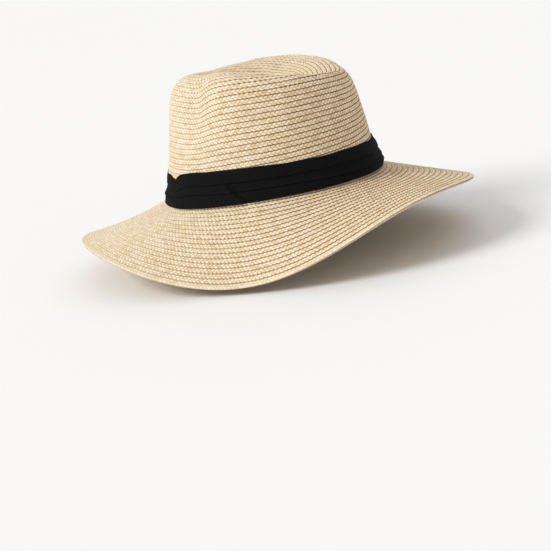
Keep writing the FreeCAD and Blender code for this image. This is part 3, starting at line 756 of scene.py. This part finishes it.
def build_wrap():
    """The overlapping end of the band on the left, and the places of its four tacks."""
    n, m = 260, BAND_SAMPLES
    arc, length, height = 45, 62, 32  # its nominal size: degrees, mm, mm
    t = np.linspace(0, 1, n)[:, None]
    even = np.linspace(0, 1, m)[None, :]
    # the folded leading end has rounded corners; the tail is a slanted tuck that runs out
    # flat above the upper fold
    upper_corner = np.clip((even - 0.76) / 0.24, 0, 1)
    lower_corner = np.clip((0.12 - even) / 0.12, 0, 1)
    lead = -68.5 + 14.5 * (1 - np.sqrt(1 - upper_corner ** 2))
    lead = lead + 3.0 * (1 - np.sqrt(1 - lower_corner ** 2))
    tail = TUCK_FOOT - TUCK_LEAN * even + 2.5 * bell(even, 0.13, 0.09)
    tail = tail + 16.0 * smooth((even - 0.60) / 0.16)
    f = np.radians(lead + (tail - lead) * t)
    s = crowd(even, f)
    low, high = band_edges(f)
    top = 32.9 + 0.3 * np.sin(t * 9) - 1.6 * smooth((t - 0.72) / 0.26)
    up = 0.9 + (top - 0.9) * s
    z = head_line(f) + up
    share = (up - low) / (high - low)
    under = np.where(share < 1, band_thick(f, np.clip(share, 0, 1)), LEAST_CLOTH)
    fade = smooth((t - 0.45) / 0.5) * smooth((even - 0.56) / 0.1)
    thick = 0.62 + 0.22 * bell(t * arc, 0, 4.0) + 0.9 * creases(f, s, 40.0)
    # soft diagonal pulls that run down into the tuck, and the lip of the tuck itself
    low_part = 1 - smooth((even - 0.5) / 0.16)
    pulls = np.sin(s * 13.0 + t * 9.0 + 1.0) * smooth((t - 0.5) / 0.4)
    thick = thick + 0.20 * pulls * low_part
    thick = thick + 1.7 * bell(t * arc, 0.965 * arc, 1.9) * low_part
    thick = thick + 0.6 * bell(t, 0.88, 0.055) * bell(s, 0.13, 0.09)
    thick = thick * (1 - fade) + 0.10 * fade
    ends = np.minimum(t * length / 1.5, (1 - t) * length / 0.8)
    edge = round_off(np.minimum(np.minimum(s, 1 - s) * height / 0.8, ends), 1.0)
    thick = 0.08 + (thick - 0.08) * edge
    r = wall(f, z) + band_back(np.maximum(up, 1.6)) + under + 0.05
    face = at(f, r + thick, z)
    # the tacks sit close to the slanted end, on the cloth
    tacks = []
    i = int(0.955 * (n - 1))
    for share in (0.18, 0.4, 0.62, 0.84):
        j = int(share * (m - 1))
        along = unit(face[i, j] - face[i - 3, j])
        out = unit(np.cross(along, face[i, j + 2] - face[i, j - 2]))
        out = out if out[:2] @ face[i, j, :2] > 0 else -out
        tacks.append((face[i, j] + out * 0.2, along, out, 2.4))
    return slab("band_wrap_cloth", face, at(f, r, z), False), tacks


# ------------------------------------------------------------------ sewing thread
THREAD_RADIUS = 0.3
PLIES = 3
STITCHES = 64
# depth of the sweatband's two faces inside the crown's outer surface
RIBBON = 0.5
DEEP_OUTER = STRAW + 0.15
DEEP_INNER = DEEP_OUTER + 2 * RIBBON + 1.5


def thread_set(name, places, radius=THREAD_RADIUS):
    """Short stitches of twisted thread, each place (middle, direction, outward, length).

    The ends bend down into the cloth."""
    n, m = 12, 14
    points, quads, uvs, tris, tri_uvs = [], [], [], [], []
    a = (np.arange(n) / n * TAU)[:, None]
    x = np.linspace(-1, 1, m)
    fat = np.sqrt(np.clip(1 - np.abs(x) ** 6, 0.04, 1))[None, :]
    sink = -0.22 * x ** 4
    i, j = np.meshgrid(np.arange(n), np.arange(m - 1), indexing="ij")
    i2 = (i + 1) % n
    k = np.arange(n)
    k2 = (k + 1) % n
    for count, (middle, along, out, length) in enumerate(places):
        side = np.cross(along, out)
        start = count * (n * m + 2)
        twist = np.cos(PLIES * (a + x[None, :] * 4.2 + count))
        r = radius * (0.86 + 0.14 * twist) * fat
        skin = (middle + along * (x[None, :, None] * length / 2)
                + out * (sink[None, :, None] + (r * np.sin(a))[..., None])
                + side * (r * np.cos(a))[..., None])
        end = along * length / 2 * 1.03
        points += [skin.reshape(-1, 3), (middle - end + out * sink[0])[None],
                   (middle + end + out * sink[-1])[None]]
        ring = np.stack([i * m + j, i2 * m + j, i2 * m + j + 1, i * m + j + 1], -1)
        quads.append(start + ring.reshape(-1, 4))
        uvs.append(uv_quads(i / n, (i + 1) / n, 0.02 + j / m * 0.95, 0.02 + (j + 1) / m * 0.95))
        tris += [start + np.stack([np.full(n, n * m), k2 * m, k * m], -1),
                 start + np.stack([np.full(n, n * m + 1), k * m + m - 1, k2 * m + m - 1], -1)]
        tri_uvs += [np.full((n, 3, 2), 0.01), np.full((n, 3, 2), 0.99)]
    return make_mesh(name, *(np.concatenate(p) for p in (points, quads, uvs, tris, tri_uvs)))


def ring_stitches(shift, rise, offset, facing):
    """Stitches round the hat, `rise` above the headline and `offset` out from the wall.

    shift moves them along by a share of their pitch; facing is 1 outward, -1 inward."""
    places = []
    for i in range(STITCHES):
        f = TAU * (i + shift) / STITCHES
        ahead, behind = (at(g, HEAD_RADIUS, head_line(g)) for g in (f + 0.01, f - 0.01))
        along = unit(ahead - behind)
        out = unit(np.cross(along, (0, 0, 1.0))) * facing
        z = head_line(f) + rise
        places.append((at(f, wall(f, z) + offset, z), along, out, 4.0))
    return places


# ------------------------------------------------------------------ sweatband and what it holds
TAPE_LOW, TAPE_HIGH, TAPE_THICK = 8.5, 21.5, 0.9


def lining(f, up, depth):
    z = head_line(f) + up
    return at(f, wall(f, z) - depth, z)


def build_sweatband():
    """A ribbon doubled over its upper edge, with an upright slit near the back."""
    n = 1440
    f = turns_of(n)[:, None]
    bend_z = 29.0 - 1.6
    middle = (DEEP_OUTER + DEEP_INNER) / 2
    bend_out = (DEEP_INNER - DEEP_OUTER) / 2
    bend_in = bend_out - RIBBON
    rise = np.r_[2.2, 2.6, 3.2, 4.0, 5.2, np.linspace(6.5, 26.2, 17), 27.4]
    bend = np.linspace(0, 180, 11)[1:-1]
    face = [lining(f, up, DEEP_OUTER) for up in rise]
    back = [lining(f, up, DEEP_OUTER + RIBBON) for up in rise]
    for angle in bend:
        c, s = math.cos(math.radians(angle)), math.sin(math.radians(angle))
        face.append(lining(f, bend_z + bend_out * s, middle - bend_out * c))
        back.append(lining(f, bend_z + bend_in * s, middle - bend_in * c))
    rib = 0.055 * np.cos(f * 360)
    for up in rise[::-1]:
        # two flat woven selvedges and upright ribs between; the face waves very slightly
        mask = smooth((up - 3.4) / 0.6) * smooth((27.2 - up) / 0.6)
        wave = 0.05 * np.sin(5 * f + up * 0.15) * mask
        face.append(lining(f, up, DEEP_INNER + rib * mask + wave))
        back.append(lining(f, up, DEEP_INNER - RIBBON))
    face, back = np.concatenate(face, 1), np.concatenate(back, 1)
    # the slit where the tape comes out, through the inner layer only
    hole = np.zeros((n, face.shape[1] - 1), bool)
    degrees = np.degrees(f[:, 0] + math.pi / n) % 360
    heights = (rise[::-1][:-1] + rise[::-1][1:]) / 2
    columns = np.nonzero((heights > 8.0) & (heights < 22.2))[0] + len(rise) + len(bend)
    hole[np.ix_((degrees > 65.8) & (degrees < 67.2), columns)] = True
    return slab("sweatband_ribbon", face, back, True, hole)


def build_tape():
    n = 640
    f = np.radians(99.0 + 324.0 * np.arange(n + 1) / n)[:, None]
    up = np.linspace(TAPE_LOW, TAPE_HIGH, 27)[None, :]
    depth = DEEP_OUTER + RIBBON + (1.5 - TAPE_THICK) / 2
    edge = 0.16 * (1 - round_off(np.minimum(up - TAPE_LOW, TAPE_HIGH - up), 0.7))
    wale = 0.05 * np.cos((up - TAPE_LOW) * TAU / 1.3) * np.cos(f * 320)
    return slab("size_tape_web", lining(f, up, depth + edge + wale),
                lining(f, up, depth + TAPE_THICK - edge - wale), False)


# ---- adjuster strips at the back, nested inside each other round an upright axis
STRIP_AXIS_Y = 29.3
STRIP_FOOT = STRIP_WIDTH = 13.0
STRIP_LEAN = 0.128
STRIP_THICK = 0.8
LOOP_RADIUS = 65.9
HOOK_RADIUS = LOOP_RADIUS - STRIP_THICK - 0.15
TAB_RADIUS = HOOK_RADIUS - STRIP_THICK


def plain(a, w):
    return 0.0


def loops(a, w):
    k = chance(np.round(a * 900), np.round(w * 33))
    return 0.06 * (k - 0.4) * smooth(np.minimum(w, 1 - w) * 20)


def hooks(a, w):
    grid = np.cos(a * 66 * TAU / 0.9) * np.cos(w * 13 * TAU / 1.6)
    return 0.05 * grid * smooth(np.minimum(w, 1 - w) * 20)


def web(a, w):
    shift = np.sign(np.sin(a * 64 * TAU / 3.0)) * 1.57
    return 0.035 * np.cos(a * 64 * TAU / 1.5) * np.cos(w * 13 * TAU / 2.6 + shift)


def strip(name, radius, thick, arc, middle, outer_relief=plain, inner_relief=plain, n=150):
    """A leaning curved strip, arc degrees long about the angle `middle`.

    The reliefs give mm proud of each face at angle a and share w of the width."""
    part = np.arange(n + 1) / n
    a = np.radians(middle - arc / 2 + arc * np.arange(n + 1) / n)[:, None]
    w = np.linspace(0, 1, 34)[None, :]
    from_end = np.minimum(part, 1 - part)[:, None] * math.radians(arc) * radius
    from_edge = np.minimum(np.minimum(w, 1 - w) * STRIP_WIDTH, from_end)
    soft = (1 - round_off(from_edge, 0.35)) * thick * 0.3
    leaning = radius - STRIP_LEAN * STRIP_WIDTH * w
    outer = leaning - soft + outer_relief(a, w)
    inner = leaning - thick + soft - inner_relief(a, w)

    def points(r):
        r, angle, share = np.broadcast_arrays(r, a, w)
        return np.stack([r * np.cos(angle), STRIP_AXIS_Y + r * np.sin(angle),
                         STRIP_FOOT + STRIP_WIDTH * share], -1)
    return slab(name, points(inner), points(outer), False)


def build_label():
    """A flat upright sheet on the frame label's own plane, facing the hat's axis."""
    half_x, half_y, half_thick = 12, 8, 0.15
    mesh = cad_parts["care_label"].data
    co = np.array([v.co[:] for v in mesh.vertices]) * 1000 - REST
    middle = (co.max(0) + co.min(0)) / 2
    normal = np.array(max(mesh.polygons, key=lambda p: p.area).normal)
    normal[2] = 0
    normal = unit(normal)
    if normal @ middle > 0:
        normal = -normal
    side = np.cross(normal, (0, 0, 1.0))
    x = np.linspace(-half_x, half_x, 60)[:, None]
    y = np.linspace(-half_y, half_y, 44)[None, :]
    ripple = 0.0018 * (np.cos(x * 6) + np.cos(y * 7))
    inset = np.minimum(half_x - np.abs(x), half_y - np.abs(y))
    soft = 0.1 * (1 - np.clip(inset / 0.4, 0, 1)) ** 2
    fold = 0.05 * bell(inset, 1.4, 0.25)

    def points(proud):
        across, up, out = (a[..., None] for a in np.broadcast_arrays(x, y, proud))
        return middle + side * across + np.array([0, 0, 1.0]) * up + normal * out
    return slab("care_label_satin", points(half_thick - soft - fold + ripple),
                points(-half_thick + soft), False)


# ------------------------------------------------------------------ materials
# straw tones pale, middle and dark (dark also serves as painted shade in gaps and hollows), then the
# colour of the painted shadow pits along the hollows
LIGHT, MID, DARK, GROOVE_SHADE = ((0.97, 0.84, 0.672), (0.755, 0.60, 0.41),
                            (0.45, 0.305, 0.155), (0.19, 0.115, 0.045))


def straw_material(name, rows, light=LIGHT, mid=MID, open_start=False, hollow=0.60, hollow_shade=0.54,
                   line=0.22, front=0.46, back=1.34, reach=(0.0, 0.36), calm=0.0, right=0.0):
    """Plaited paper straw: rows of braid, each with two files of leaning cells.

    hollow: where in a half row the painted shade of the hollow between rows starts;
    hollow_shade, line: the strength of that painted shade and of its dark painted line;
    front, back: strength of that painted shade there, weaker at the front, which faces the
    key light, blended over `reach` turns from the front; calm: rows near the tip with fainter
    strands; right: how far the painted hollow shade fades on the wearer's right; open_start:
    no painted hollow shade along the first half row."""
    g = Material(name, spec=0.32)
    u, vv = g.uv()
    q = (1.0 - (1.0 - vv * 2.0).abs()) * float(rows)
    k = q.floor()
    v = q - k
    cells = g.attr("cells")
    second = v > 0.5
    lean = ((v - 0.25) * (1.0 - second) - (v - 0.75) * second) * 0.8
    c = u * cells + second * 0.5 + lean
    cell, t = c.floor(), c.fract()
    # two random tones for every strand
    strand, odd_strand = (g.white(g.vec(cell + 0.5, k * 2.0 + second + 0.5, seed))
                          for seed in (0.5, 7.5))
    off = (t * 2.0 - 1.0).abs()
    # strands show less along the last row and its outer half
    clear = 1.0 - (q > rows - 1.0) * 0.34 - (q > rows - 0.5) * 0.16
    if calm:
        clear = clear * (g.ramp(q, start=calm - 2.0, end=calm + 2.5) * 0.52 + 0.48)
    # and less again towards the front, which faces the key light: painted light that flattens the
    # strand contrast and the painted shade in the gaps there
    clear = clear * (g.ramp((u - 0.5).abs(), start=0.02, end=0.17) * 0.4 + 0.6)
    gap = off ** 3.0 * clear
    # the last row ends in a plain rounded edge
    side = (v * 2.0 - 1.0).abs() * (1.0 - (q > rows - 0.5))
    if open_start:
        side = side * (q > 0.5)
    edge = g.ramp(side, start=hollow, end=hollow + 0.31)
    half = 1.0 - g.ramp((v - 0.5).abs(), start=0.015, end=0.085)
    cloud = g.noise(g.place(), scale=26.0, detail=3.0)
    fibre = g.noise(g.vec(c * 1.6, v * 26.0, k), scale=3.0, detail=3.0, rough=0.65)
    # tone: the strand's own and the fibres, with a painted highlight on the rounded middle of each
    # cell, then a flat share where the strands show less
    tone = (strand * 0.44 + (1.0 - off * off) * 0.34) * clear
    tone = tone + fibre * 0.22 + (1.0 - clear) * 0.36
    # odd dark strands and faint clouds in the straw's own tone, then painted shade in the gaps
    # between strands and along the recessed line between files
    base = g.mix(g.ramp(tone, start=0.20, end=0.78), mid, light)
    base = g.mix(g.ramp(odd_strand, start=0.84, end=1.0) * 0.3 * clear, base, DARK)
    base = g.mix(g.ramp(cloud, start=0.35, end=0.75) * 0.05, base, DARK)
    base = g.mix(g.ramp(gap, start=0.14, end=0.85) * 0.58, base, DARK)
    base = g.mix(half * (0.18 + off * 0.42), base, DARK)
    # rows meet in a hollow painted in shade, broken into darker painted shadow pits at the gaps
    # between cells; the painted shade is weaker towards the front, which faces the key light, than
    # at the back
    away = g.ramp((u - 0.5).abs(), *reach)
    shade_strength = away * (back - front) + front
    if right:
        to_right = ((u - 0.25) * TAU + math.pi / 2).sin()
        shade_strength = shade_strength * (1.0 - g.ramp(to_right, start=-0.72, end=-0.08) * right)
    # and the painted hollow shade varies at random along every row
    shade_drift = g.noise(g.vec(u * cells * 0.31, k * 3.7), scale=1.0, detail=3.0, rough=0.6)
    shade_strength = shade_strength * (shade_drift * 1.1 + 0.45)
    # the painted shade of the hollow where the rows meet
    base = g.mix(edge * hollow_shade * shade_strength, base, DARK)
    # painted shadow pits at the cell gaps and a dark painted line, along each hollow
    pit_shade = g.ramp(off, start=0.25, end=0.8) * (second * 0.50 + 0.50) + (away * 0.7 + 0.45) * line
    base = g.mix(g.ramp(side, start=hollow + 0.08, end=0.92) * pit_shade * shade_strength, base, GROOVE_SHADE)
    g.set("Base Color", base)
    # hollows and gaps are rougher and lower than the strands
    g.set("Roughness", 0.55 + fibre * 0.16 + gap * 0.12 + edge * 0.15)
    height = (1.0 - gap) * 0.5 + fibre * 0.35 - edge * 0.6 - half * 0.25
    g.bump(height, distance=0.00022, strength=0.8)
    return g.data


def cloth_material(name, base, light, warp, weft, rough, sheen, spec, depth=0.00012, crepe=0.0):
    """Woven cloth: warp and weft are thread counts over the piece's own UV.

    crepe adds the pebbled twist of crepe yarn; depth is the bump in metres."""
    g = Material(name, spec=spec)
    u, v = g.uv()
    stray = g.noise(g.vec(u * 60.0, v * 12.0), scale=1.0)
    a = ((u * float(warp) + stray * 0.6).fract() * 2.0 - 1.0).abs()
    b = ((v * float(weft) + stray * 0.6).fract() * 2.0 - 1.0).abs()
    checks = ((u * float(warp)).floor() + (v * float(weft)).floor()) * 0.5
    over = checks.fract() > 0.25
    weave = (1.0 - a * a) * over + (1.0 - b * b) * (1.0 - over)
    place = g.place()
    grain = g.noise(place, scale=900.0, detail=3.0, rough=0.65)
    cloud = g.noise(place, scale=60.0, detail=3.0)
    # shares of weave, grain and cloud in the height, tone and roughness
    height = weave * 0.6 + grain * (0.5 + crepe)
    tone = weave * 0.35 + grain * 0.4 + cloud * 0.25
    g.set("Base Color", g.mix(g.ramp(tone, start=0.2, end=0.8), base, light))
    g.set("Roughness", rough - weave * 0.08 + grain * 0.08)
    g.set("Sheen Weight", sheen)
    g.set("Sheen Roughness", 0.45)
    g.bump(height, distance=depth, strength=0.9)
    return g.data


def thread_material(name, base, light):
    g = Material(name, spec=0.3)
    place = g.place()
    fibre = g.noise(g.scaled(place), scale=2600.0, detail=3.0, rough=0.6)
    slow = g.noise(place, scale=300.0)
    # mostly fibre with some slow drift
    g.set("Base Color", g.mix(fibre * 0.7 + slow * 0.3, base, light))
    g.set("Roughness", 0.6 + fibre * 0.25)
    g.bump(fibre, distance=0.00008, strength=0.7)
    return g.data


def metal_material(name, base, light, rough):
    g = Material(name, metal=1.0, spec=0.5)
    place = g.place()
    drawn = g.noise(g.scaled(place), scale=1500.0, detail=3.0, rough=0.6)
    stain = g.noise(place, scale=120.0, detail=3.0)
    g.set("Base Color", g.mix(g.ramp(stain, start=0.35, end=0.75), base, light))
    # drawn grain roughens the metal, stains smooth it a little
    g.set("Roughness", rough + drawn * 0.2 - stain * 0.08)
    g.bump(drawn, distance=0.00002, strength=0.6)
    return g.data


def pile_material(name, base, light, scale):
    """Brushed loops or moulded hooks: a fine pebbled field."""
    g = Material(name, spec=0.25)
    place = g.place()
    cell = g.node("TexVoronoi", {"Vector": place, "Scale": scale}, "Distance")
    hair = g.noise(place, scale=scale * 2.2, detail=3.0, rough=0.7)
    # the pebbles' middles are light, their edges and the hair between them dark
    tone = g.ramp(cell * 0.7 + hair * 0.5, start=0.2, end=0.85)
    g.set("Base Color", g.mix(tone, light, base))
    g.set("Roughness", 0.7 + hair * 0.25)
    g.set("Sheen Weight", 0.25)
    g.bump((1.0 - cell) + hair * 0.5, distance=0.0003, strength=0.9)
    return g.data


crown_mat = straw_material("straw_crown", CROWN_ROWS, hollow_shade=0.47, line=0.12, back=1.27, calm=11.0)
brim_mat = straw_material("straw_brim", BRIM_ROWS, hollow=0.52, hollow_shade=0.66, line=0.30,
                          front=0.42, back=1.30, reach=(0.05, 0.40), right=0.74)
facing_mat = straw_material("straw_facing", 2, light=(0.95, 0.82, 0.66), mid=(0.80, 0.65, 0.47),
                            open_start=True)
CREPE = dict(weft=190, rough=0.86, sheen=0.03, spec=0.12, crepe=0.6)
band_mat = cloth_material("band_crepe", base=(0.0058, 0.0056, 0.0060),
                          light=(0.0125, 0.0122, 0.0128), warp=1500, **CREPE)
wrap_mat = cloth_material("band_crepe_end", base=(0.0062, 0.0060, 0.0064),
                          light=(0.0135, 0.0132, 0.0138), warp=210, **CREPE)
black_thread = thread_material("black_thread", base=(0.006, 0.006, 0.007),
                               light=(0.02, 0.02, 0.022))
tan_thread = thread_material("tan_thread", base=(0.42, 0.30, 0.17), light=(0.66, 0.51, 0.33))
ribbon_mat = cloth_material("sweat_ribbon", base=(0.50, 0.42, 0.31), light=(0.68, 0.60, 0.47),
                            warp=720, weft=260, rough=0.72, sheen=0.2, spec=0.3)
WEB = dict(base=(0.42, 0.37, 0.30), light=(0.62, 0.57, 0.49), rough=0.8, sheen=0.1,
           depth=0.00018, spec=0.25)
tape_mat = cloth_material("tape_web", warp=640, weft=60, **WEB)
tab_mat = cloth_material("tab_web", warp=60, weft=34, **WEB)
loop_mat = pile_material("loop_pile", base=(0.40, 0.34, 0.26), light=(0.62, 0.56, 0.46),
                         scale=1500.0)
hook_mat = pile_material("hook_plastic", base=(0.36, 0.31, 0.24), light=(0.58, 0.52, 0.43),
                         scale=900.0)
label_mat = cloth_material("label_satin", base=(0.66, 0.65, 0.62), light=(0.85, 0.84, 0.81),
                           warp=90, weft=120, rough=0.42, sheen=0.25, depth=0.00006, spec=0.45)
wire_mat = metal_material("spring_wire", base=(0.42, 0.42, 0.43), light=(0.62, 0.62, 0.62),
                          rough=0.32)
joiner_mat = metal_material("joiner_metal", base=(0.50, 0.45, 0.36), light=(0.70, 0.66, 0.56),
                            rough=0.38)


# ------------------------------------------------------------------ put the pieces together
def finish_piece(o, mat, node, body="hat"):
    o.data.materials.clear()
    o.data.materials.append(mat)
    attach(o, body)
    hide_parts(node)


finish_piece(build_crown(), crown_mat, "crown_braid")
finish_piece(build_brim(), brim_mat, "brim_braid")
finish_piece(build_facing(), facing_mat, "brim_edge_facing")
finish_piece(build_band(), band_mat, "hat_band")
wrap, tacks = build_wrap()
finish_piece(wrap, wrap_mat, "band_wrap")
head_places = ring_stitches(shift=0, rise=4.4, offset=COLLAR_FACE + 0.12 + THREAD_RADIUS, facing=1)
sweat_places = ring_stitches(shift=0.5, rise=4.0, offset=-(DEEP_INNER + 0.14 + THREAD_RADIUS),
                             facing=-1)
finish_piece(thread_set("head_stitches", head_places), tan_thread,
             "headline_stitching")
finish_piece(thread_set("sweat_stitches", sweat_places), tan_thread,
             "sweatband_stitching")
finish_piece(thread_set("band_tacks", tacks, radius=0.26), black_thread,
             "band_tack_stitches")
finish_piece(build_sweatband(), ribbon_mat, "sweatband")
finish_piece(build_tape(), tape_mat, "size_tape")
finish_piece(strip("loop_strip_pile", LOOP_RADIUS, STRIP_THICK, arc=44.0, middle=101.0,
                   inner_relief=loops), loop_mat, "loop_strip")
finish_piece(strip("hook_pad_tape", HOOK_RADIUS, STRIP_THICK, arc=16.0, middle=99.0,
                   outer_relief=hooks), hook_mat, "hook_pad")
finish_piece(strip("size_tab_web", TAB_RADIUS, 1.0, arc=34.0, middle=91.0, inner_relief=web,
                   n=190), tab_mat, "size_tab", "size_tab")
finish_piece(build_label(), label_mat, "care_label")
for node, mat in (("brim_edge_wire", wire_mat), ("wire_joiner", joiner_mat)):
    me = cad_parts[node].data
    me.materials.clear()
    me.materials.append(mat)

# ------------------------------------------------------------------ stage
bpy.ops.mesh.primitive_plane_add(size=14.0, location=(0, 0, 0))
floor = bpy.context.object
floor.name = "floor"
pale = Material("pale_floor", rough=0.9, spec=0.1)
pale.set("Base Color", pale.mix(pale.noise(pale.place(), scale=3.0),
                                (0.972, 0.972, 0.97), (0.98, 0.98, 0.978)))
floor.data.materials.append(pale.data)

AMBIENT = 0.50  # strength of the world's light
BACKDROP_EXTRA = 0.47  # added where the camera sees the world, so that it looks white
world = bpy.data.worlds.new("soft_studio")
bpy.context.scene.world = world
world.use_nodes = True
background = world.node_tree.nodes["Background"]
background.inputs["Color"].default_value = (1.0, 1.0, 1.0, 1)
seen = world.node_tree.nodes.new("ShaderNodeLightPath")
level = world.node_tree.nodes.new("ShaderNodeMath")
level.operation = "MULTIPLY_ADD"
level.inputs[1].default_value = BACKDROP_EXTRA
level.inputs[2].default_value = AMBIENT
world.node_tree.links.new(seen.outputs["Is Camera Ray"], level.inputs[0])
world.node_tree.links.new(level.outputs[0], background.inputs["Strength"])


def sun(name, toward, strength, angle, tint=(1, 1, 1)):
    """A sun shining from the direction `toward`, its disc `angle` degrees wide."""
    data = bpy.data.lights.new(name, "SUN")
    data.energy = strength
    data.angle = math.radians(angle)
    data.color = tint
    o = bpy.data.objects.new(name, data)
    o.rotation_euler = Vector(toward).to_track_quat("Z", "Y").to_euler()
    bpy.context.scene.collection.objects.link(o)


sun("key", toward=(0.36, -0.91, 0.69), strength=1.86, angle=26, tint=(1.0, 0.985, 0.965))
sun("fill", toward=(0.7, 0.35, 0.75), strength=0.20, angle=60)
sun("rim", toward=(-0.7, 0.2, 0.8), strength=0.38, angle=60)

# ------------------------------------------------------------------ camera
# it looks from the wearer's left, a little from above, rolled about its own axis
AZIMUTH, ELEVATION, ROLL = math.radians(86.147), math.radians(10.407), math.radians(8.162)
DISTANCE = 1.5
target = Vector((REST + (0, 0, 50.0)) / 1000)
right = Vector((math.cos(AZIMUTH), math.sin(AZIMUTH), 0))
back = Vector((math.sin(AZIMUTH) * math.cos(ELEVATION),
               -math.cos(AZIMUTH) * math.cos(ELEVATION), math.sin(ELEVATION)))
up = Vector((-math.sin(AZIMUTH) * math.sin(ELEVATION),
             math.cos(AZIMUTH) * math.sin(ELEVATION), math.cos(ELEVATION)))
camera_x = right * math.cos(ROLL) - up * math.sin(ROLL)
camera_y = right * math.sin(ROLL) + up * math.cos(ROLL)
camera_data = bpy.data.cameras.new("camera")
camera = bpy.data.objects.new("camera", camera_data)
bpy.context.scene.collection.objects.link(camera)
turned = Matrix((camera_x, camera_y, back)).transposed()
camera.matrix_world = Matrix.Translation(target + back * DISTANCE) @ turned.to_4x4()
camera_data.sensor_width = 36
camera_data.lens = 104.16806
camera_data.shift_x = 0.01573503
camera_data.shift_y = -0.26119782
camera_data.clip_start = 0.05
camera_data.clip_end = 60
bpy.context.scene.camera = camera

# tones as a camera gives them: full highlights, deeper shadows; (input, output) levels
TONE_POINTS = ((0.08, 0.052), (0.18, 0.126), (0.28, 0.218), (0.38, 0.334), (0.50, 0.475),
               (0.65, 0.65), (0.85, 0.845))
look = bpy.context.scene.view_settings
look.view_transform = "Standard"
look.use_curve_mapping = True
tone = look.curve_mapping
tone.initialize()
tone.extend = "EXTRAPOLATED"
for x, y in TONE_POINTS:
    tone.curves[3].points.new(x, y)
tone.update()
